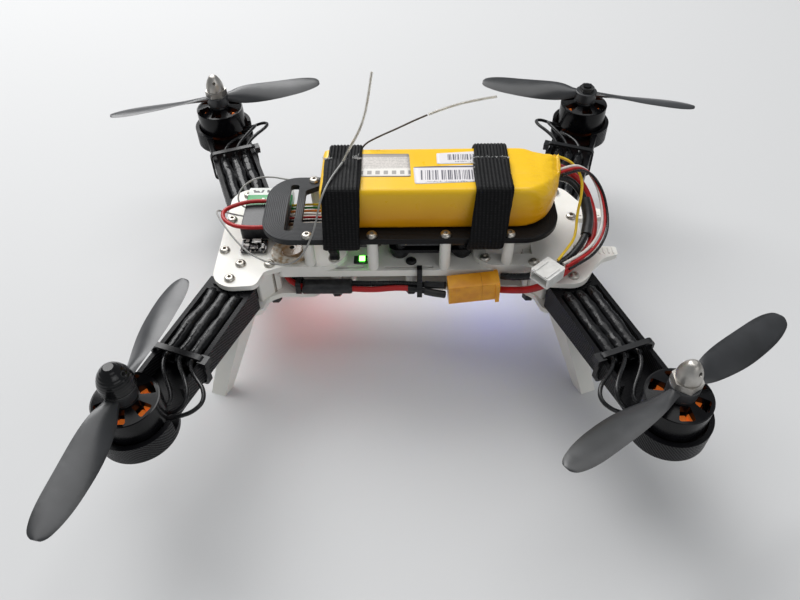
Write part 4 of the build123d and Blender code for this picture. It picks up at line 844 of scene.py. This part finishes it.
# ---------------------------------------------------------------- battery pack
def rounded_ring(x, yc, zc, half_w, half_h, radius, lean=0.0):
    """A rounded rectangle across the pack at x, as 48 points."""
    ring = []
    for quarter, (sy, sz) in enumerate(((1, 1), (-1, 1), (-1, -1), (1, -1))):
        for k in range(12):
            angle = math.pi / 2 * (quarter + k / 11)
            y = yc + sy * (half_w - radius) + radius * math.cos(angle)
            z = zc + sz * (half_h - radius) + radius * math.sin(angle)
            ring.append((x + lean * (y - yc), y, z))
    return ring


def battery():
    """Flat-sided film wrap, gathered to a mouth at the nose end."""
    sections = [
        (-37.9, 0, 51.4, 13.5, 8.0, 1.5, 0),
        (-37.9, 0, 51.4, 15.6, 9.8, 1.8, 0),
        (-37.2, 0, 51.4, 16.9, 11.0, 2.2, 0),
        (-35.8, 0, 51.4, 17.4, 11.55, 2.6, 0),
        (-33, 0, 51.4, 17.5, 11.6, 2.6, 0),
    ]
    sections += [(-33 + 4.4 * k, 0, 51.4, 17.5, 11.6, 2.6, 0) for k in range(1, 21)]
    sections += [
        (58.5, 0, 51.4, 17.5, 11.6, 2.8, 0),
        (61, 0.1, 51.4, 17.4, 11.5, 3.2, 0),
        (63, 0.3, 51.3, 17.3, 11.4, 4.0, 0),
        (65, 0.5, 51.1, 17.1, 11.2, 5.0, 0),
        (67, 0.8, 50.9, 16.7, 11.0, 6.0, 0.01),
        (68.6, 1.1, 50.7, 16.2, 10.8, 6.8, 0.01),
        (70, 1.4, 50.6, 15.6, 10.5, 7.5, 0.02),
        (71.3, 1.8, 50.6, 14.8, 10.1, 7.8, 0.02),
        (72.5, 2.2, 50.6, 13.8, 9.6, 8.0, 0.03),
        (73.6, 2.8, 50.7, 12.7, 9.0, 7.8, 0.03),
        (74.5, 3.4, 50.9, 11.5, 8.2, 7.5, 0.03),
        (75.4, 4.2, 51.4, 10.1, 7.4, 6.9, 0.02),
        (76.0, 5.0, 52.0, 9.0, 6.6, 6.1, 0.0),
        (76.6, 6.4, 53.4, 7.9, 6.0, 5.5, 0.0),
        (77.0, 8.0, 55.0, 7.0, 5.4, 4.9, 0.0),
        (77.5, 9.0, 56.2, 6.6, 4.9, 4.5, 0.0),
        (77.4, 9.1, 56.2, 6.2, 4.5, 4.1, 0.0),
        (76.4, 9.0, 56.0, 5.6, 3.9, 3.7, 0.0),
        (74, 8.0, 54.0, 5.0, 3.4, 3.2, 0.0),
    ]
    rows = []
    for index, section in enumerate(sections):
        ring = rounded_ring(*section)
        x = section[0]
        crumple = min(max((x - 58) / 12, 0), 1) * (1 if index < len(sections) - 4 else 0)
        moved = []
        for px, py, pz in ring:
            bend = noise.noise(Vector((px * 0.16, py * 0.3, pz * 0.3)))
            slack = noise.noise(Vector((px * 0.04, py * 0.11, pz * 0.11)))
            fold = noise.noise(Vector((px * 0.1, math.atan2(pz - section[2], py - section[1]) * 2.6, 7.0)))
            share = 1 + crumple * (0.035 * bend + 0.055 * fold) + 0.004 * slack
            pinch = 3.4 * crumple * math.exp(-(((py - 9) / 3.2) ** 2)) if pz > section[2] else 0.0
            wide = section[1] + (py - section[1]) * share
            tall = section[2] + (pz - section[2]) * share + pinch
            moved.append((px, wide, tall))
        rows.append([(px, py, min(max(pz, 39.85), 63.0)) for px, py, pz in moved])
    mesh = grid_mesh("pack", rows, closed_v=True)
    work = bmesh.new()
    work.from_mesh(mesh)
    bmesh.ops.holes_fill(work, edges=[edge for edge in work.edges if edge.is_boundary], sides=0)
    bmesh.ops.recalc_face_normals(work, faces=work.faces)
    work.to_mesh(mesh)
    work.free()
    piece("pack_wrap", mesh, FILM, "pack_yellow", "battery_pack")


battery()


def label(name, corners_mm, z_mm, paint):
    """A thin sticker with rounded, slightly lifted corners."""
    (x0, y0), (x1, y1), (x2, y2), (x3, y3) = corners_mm
    rows = []
    steps = 12
    for i in range(steps + 1):
        u = i / steps
        row = []
        for k in range(steps + 1):
            v = k / steps
            trim = 0.012 * (abs(2 * u - 1) ** 12) * (abs(2 * v - 1) ** 12)
            uu = u + (0.5 - u) * trim * 2
            vv = v + (0.5 - v) * trim * 2
            x = (x0 * (1 - uu) + x1 * uu) * (1 - vv) + (x3 * (1 - uu) + x2 * uu) * vv
            y = (y0 * (1 - uu) + y1 * uu) * (1 - vv) + (y3 * (1 - uu) + y2 * uu) * vv
            lift = 0.10 * (abs(2 * u - 1) ** 10) * (abs(2 * v - 1) ** 10)
            row.append((x, y, z_mm + lift + 0.015 * noise.noise(Vector((x * 0.4, y * 0.4, z_mm)))))
        rows.append(row)
    obj = piece(name, grid_mesh(name, rows), paint, "pack_yellow")
    solid = obj.modifiers.new("thickness", "SOLIDIFY")
    solid.thickness = 0.06 * MM
    solid.offset = 1
    return obj


def barcode(name, y_low, y_high, x_low, x_high, header):
    """White sticker with rows of generic bars and a dark header line."""
    paint = Paint(name, (0.74, 0.72, 0.72), 0.5)
    x, y = paint.axis(0), paint.axis(1)
    bars = paint.calc("GREATER_THAN", paint.noise(0.75, 1, paint.vector(x, 0.0, 0.0)), 0.5)
    area = paint.calc("MULTIPLY", paint.between(y, y_low, y_high), paint.between(x, x_low, x_high))
    dark = paint.calc("MULTIPLY", bars, area)
    dots = paint.calc("GREATER_THAN", paint.noise(0.5, 1), 0.55)
    under = paint.between(y, y_low - 1.9, y_low - 0.9)
    line = paint.calc("MULTIPLY", under, paint.between(x, x_low + 3, x_high - 3))
    dark = paint.calc("MAXIMUM", dark, paint.calc("MULTIPLY", line, dots))
    if header:
        dark = paint.calc("MAXIMUM", dark, paint.between(y, header[0], header[1]))
    paint.color(paint.mix(dark, (0.74, 0.71, 0.72), (0.10, 0.095, 0.12)))
    paint.bump(paint.noise(2, 2), 0.02)
    return paint


def info_label():
    """Grey and white information panel, filled with generic speckle rows."""
    paint = Paint("label_info", (0.7, 0.7, 0.7), 0.5)
    x, y = paint.axis(0), paint.axis(1)
    head = paint.between(y, 9.4, 14.0)
    upper = paint.between(y, 0.2, 9.4)
    rows = paint.calc("GREATER_THAN", paint.waves(y, 1.25), 0.5)
    specks = paint.calc("GREATER_THAN", paint.noise(0.8, 1), 0.48)
    text = paint.calc("MULTIPLY", paint.calc("MULTIPLY", rows, specks), upper)
    shade = paint.mix(head, (0.78, 0.75, 0.70), (0.34, 0.31, 0.28))
    shade = paint.mix(upper, shade, (0.62, 0.58, 0.54))
    shade = paint.mix(paint.calc("MULTIPLY", text, 0.45), shade, (0.22, 0.20, 0.19))
    marks = paint.calc("GREATER_THAN", paint.waves(x, 3.9), 0.45)
    squares = paint.calc("MULTIPLY", paint.between(y, -4.4, -1.6), marks)
    shade = paint.mix(paint.calc("MULTIPLY", squares, 0.7), shade, (0.16, 0.15, 0.14))
    rim = paint.calc("SUBTRACT", 1.0, paint.between(y, -5.9, 11.6))
    shade = paint.mix(rim, shade, (0.20, 0.18, 0.16))
    paint.color(shade)
    paint.bump(paint.noise(2, 2), 0.02)
    return paint


TOP = 63.02
INFO_CORNERS = [(-19.0, 12.0), (4.3, 11.8), (5.1, -6.5), (-19.0, -6.2)]
LONG_CORNERS = [(6.2, 1.1), (36.8, 2.4), (36.8, -10.8), (6.8, -12.2)]
SHORT_CORNERS = [(17.6, 11.9), (37.4, 13.3), (37.4, 3.4), (17.6, 3.2)]
label("label_info", INFO_CORNERS, TOP, info_label())
label("label_long", LONG_CORNERS, TOP, barcode("label_long", -9.0, -1.6, 9.0, 34.5, (0.4, 1.6)))
label("label_short", SHORT_CORNERS, TOP, barcode("label_short", 6.4, 11.0, 23.0, 37.0, None))


# ---------------------------------------------------------------- straps
def rounded_path(points, radius, closed=True):
    """A path in the YZ plane with rounded corners and evenly placed points."""
    path = []
    count = len(points)
    for index, corner in enumerate(points):
        if not closed and index in (0, count - 1):
            path.append(Vector(corner))
            continue
        here = Vector(corner)
        before = (Vector(points[index - 1]) - here)
        after = (Vector(points[(index + 1) % count]) - here)
        reach = min(radius, before.length * 0.45, after.length * 0.45)
        start = here + before.normalized() * reach
        end = here + after.normalized() * reach
        for k in range(7):
            t = k / 6
            path.append((1 - t) ** 2 * start + 2 * t * (1 - t) * here + t * t * end)
    dense = []
    pairs = list(zip(path, path[1:] + path[:1])) if closed else list(zip(path, path[1:]))
    for a, b in pairs:
        steps = max(1, int((b - a).length / 0.9))
        dense += [a.lerp(b, k / steps) for k in range(steps)]
    if not closed:
        dense.append(path[-1])
    return dense


def ribbon(name, path, centre, width, thick, ribs, closed, sway=0.0, seed=0):
    """Ribbed elastic swept along a YZ path. centre(z) gives the strap's middle in x."""
    rows = []
    count = len(path)
    across = ribs * 6
    for index, point in enumerate(path):
        ahead = path[(index + 1) % count] if closed or index < count - 1 else point
        behind = path[index - 1] if closed or index > 0 else point
        tangent = (ahead - behind).normalized()
        normal = Vector((tangent.y, -tangent.x))
        drift = sway * noise.noise(Vector((index * 0.05, seed, 0.3)))
        row = []
        for layer in (0, 1):
            order = range(across + 1) if layer == 0 else range(across, -1, -1)
            for k in order:
                u = k / across
                edge = 0.12 * noise.noise(Vector((index * 0.35, seed + u * 3, 2.0)))
                rib = 0.50 * abs(math.sin(math.pi * u * ribs)) ** 0.7 if layer == 0 else 0.0
                soft = min(1.0, min(u, 1 - u) * 14)
                height = (thick / 2) * soft + rib if layer == 0 else -(thick / 2) * soft
                place = point + normal * -height
                ragged = edge if abs(u - 0.5) > 0.46 else 0.0
                row.append((centre(place.y) + drift + (u - 0.5) * width + ragged, place.x, place.y))
        rows.append(row)
    mesh = grid_mesh(name, rows, closed_u=closed, closed_v=True)
    if not closed:
        work = bmesh.new()
        work.from_mesh(mesh)
        bmesh.ops.holes_fill(work, edges=[edge for edge in work.edges if edge.is_boundary], sides=0)
        work.to_mesh(mesh)
        work.free()
    return tidy_normals(mesh)


BASE_LOOP = [(-18.3, 63.7), (18.3, 63.7), (25.9, 40.6), (25.9, 35.7), (-25.9, 35.7), (-25.9, 40.6)]
OVERLAP = [(4.6, 65.2), (-18.9, 65.2), (-27.2, 40.8), (-27.2, 34.9), (-17.0, 34.3)]


def rear_centre(z):
    return -28.0 + 0.04 * (z - 36)


def front_centre(z):
    return 40.6 + 0.12 * (z - 35.7)


def tufts(name, clumps, seed):
    """Frayed threads where the elastic was cut: loose clumps of curling hairs."""
    dice = random.Random(seed)
    routes = []
    for x, y, z, count, spread, reach in clumps:
        for _ in range(count):
            root = Vector((x + dice.uniform(-spread, spread), y + dice.uniform(-0.5, 0.3), z))
            heading = Vector((dice.gauss(0, 0.7), dice.uniform(-0.2, 1.0), dice.uniform(0.1, 1.0)))
            heading.normalize()
            curl = Vector((dice.gauss(0, 0.8), dice.gauss(0, 0.6), dice.uniform(-0.7, 0.2)))
            length = reach * dice.uniform(0.4, 1.1)
            route = [root + heading * length * t + curl * length * t * t for t in (0.0, 0.35, 0.7, 1.0)]
            routes.append([(point.x, point.y, max(point.z, 64.9)) for point in route])
    cable(name, routes, 0.09, FRAY, "strap_web")


def straps():
    loop = rounded_path(BASE_LOOP, 2.2)
    over = rounded_path(OVERLAP, 2.2, closed=False)
    for name, centre, seed in (("strap_rear", rear_centre, 3), ("strap_front", front_centre, 8)):
        node = "battery_" + name
        lower = ribbon(name, loop, centre, 16.4, 1.3, 10, True, 0.5, seed)
        piece(name + "_loop", lower, WEB, "strap_web", node)
        upper = ribbon(name, over, lambda z, c=centre: c(z) - 0.5, 17.4, 1.1, 10, False, 0.9, seed + 1)
        piece(name + "_overlap", upper, WEB, "strap_web")
    rear = rear_centre(65.2) - 0.5
    front = front_centre(65.2) - 0.5
    hairs = [
        (rear - 7.9, 4.5, 65.3, 34, 0.8, 1.4),
        (rear + 6.2, 4.6, 65.3, 44, 1.6, 1.5),
        (rear - 1.0, 4.6, 65.2, 14, 3.4, 0.6),
    ]
    tufts("strap_rear_fray", hairs, 11)
    hairs = [(front + step, 4.6, 65.3, 22, 1.6, 0.9) for step in (-7.6, -4.2, -0.2, 3.4, 6.9)]
    hairs += [(front - 8.4, y, 65.2, 14, 0.3, 0.8) for y in (3.0, 0.4, -3.0, -6.5)]
    tufts("strap_front_fray", hairs, 17)
    tail = rounded_path([(-26.8, 36.0), (-24.6, 32.0), (-22.4, 28.4), (-22.0, 25.0)], 3, closed=False)
    hanging = ribbon("tail", tail, lambda z: -33.0, 5.0, 1.8, 3, False, 1.2, 5)
    piece("strap_rear_tail", hanging, WEB, "strap_web")


straps()

# ---------------------------------------------------------------- floor, light
def floor():
    edge = 3000
    rows = [[(x, y, -38) for y in (-edge, edge)] for x in (-edge, edge)]
    mesh = grid_mesh("floor", rows)
    obj = bpy.data.objects.new("floor", mesh)
    bpy.context.scene.collection.objects.link(obj)
    paint = Paint("floor_pale", (0.60, 0.60, 0.60), 0.7)
    mesh.materials.append(paint.material)


floor()


def area_light(name, place, size, power, target=(0, 0, 0.02)):
    data = bpy.data.lights.new(name, "AREA")
    data.shape = "RECTANGLE"
    data.size, data.size_y = size
    data.energy = power
    obj = bpy.data.objects.new(name, data)
    bpy.context.scene.collection.objects.link(obj)
    obj.location = place
    obj.rotation_mode = "QUATERNION"
    obj.rotation_quaternion = (Vector(target) - Vector(place)).to_track_quat("-Z", "Y")


area_light("key", (-0.8, 1.3, 1.3), (1.4, 1.2), 34)
area_light("fill", (0.9, -1.2, 0.9), (1.4, 0.9), 4)
area_light("top", (0.0, 0.5, 1.8), (1.6, 1.4), 15)
world = bpy.data.worlds.new("world")
world.use_nodes = True
world.node_tree.nodes["Background"].inputs["Color"].default_value = (0.92, 0.96, 1.0, 1)
world.node_tree.nodes["Background"].inputs["Strength"].default_value = 0.32
bpy.context.scene.world = world
bpy.context.scene.view_settings.view_transform = "Standard"
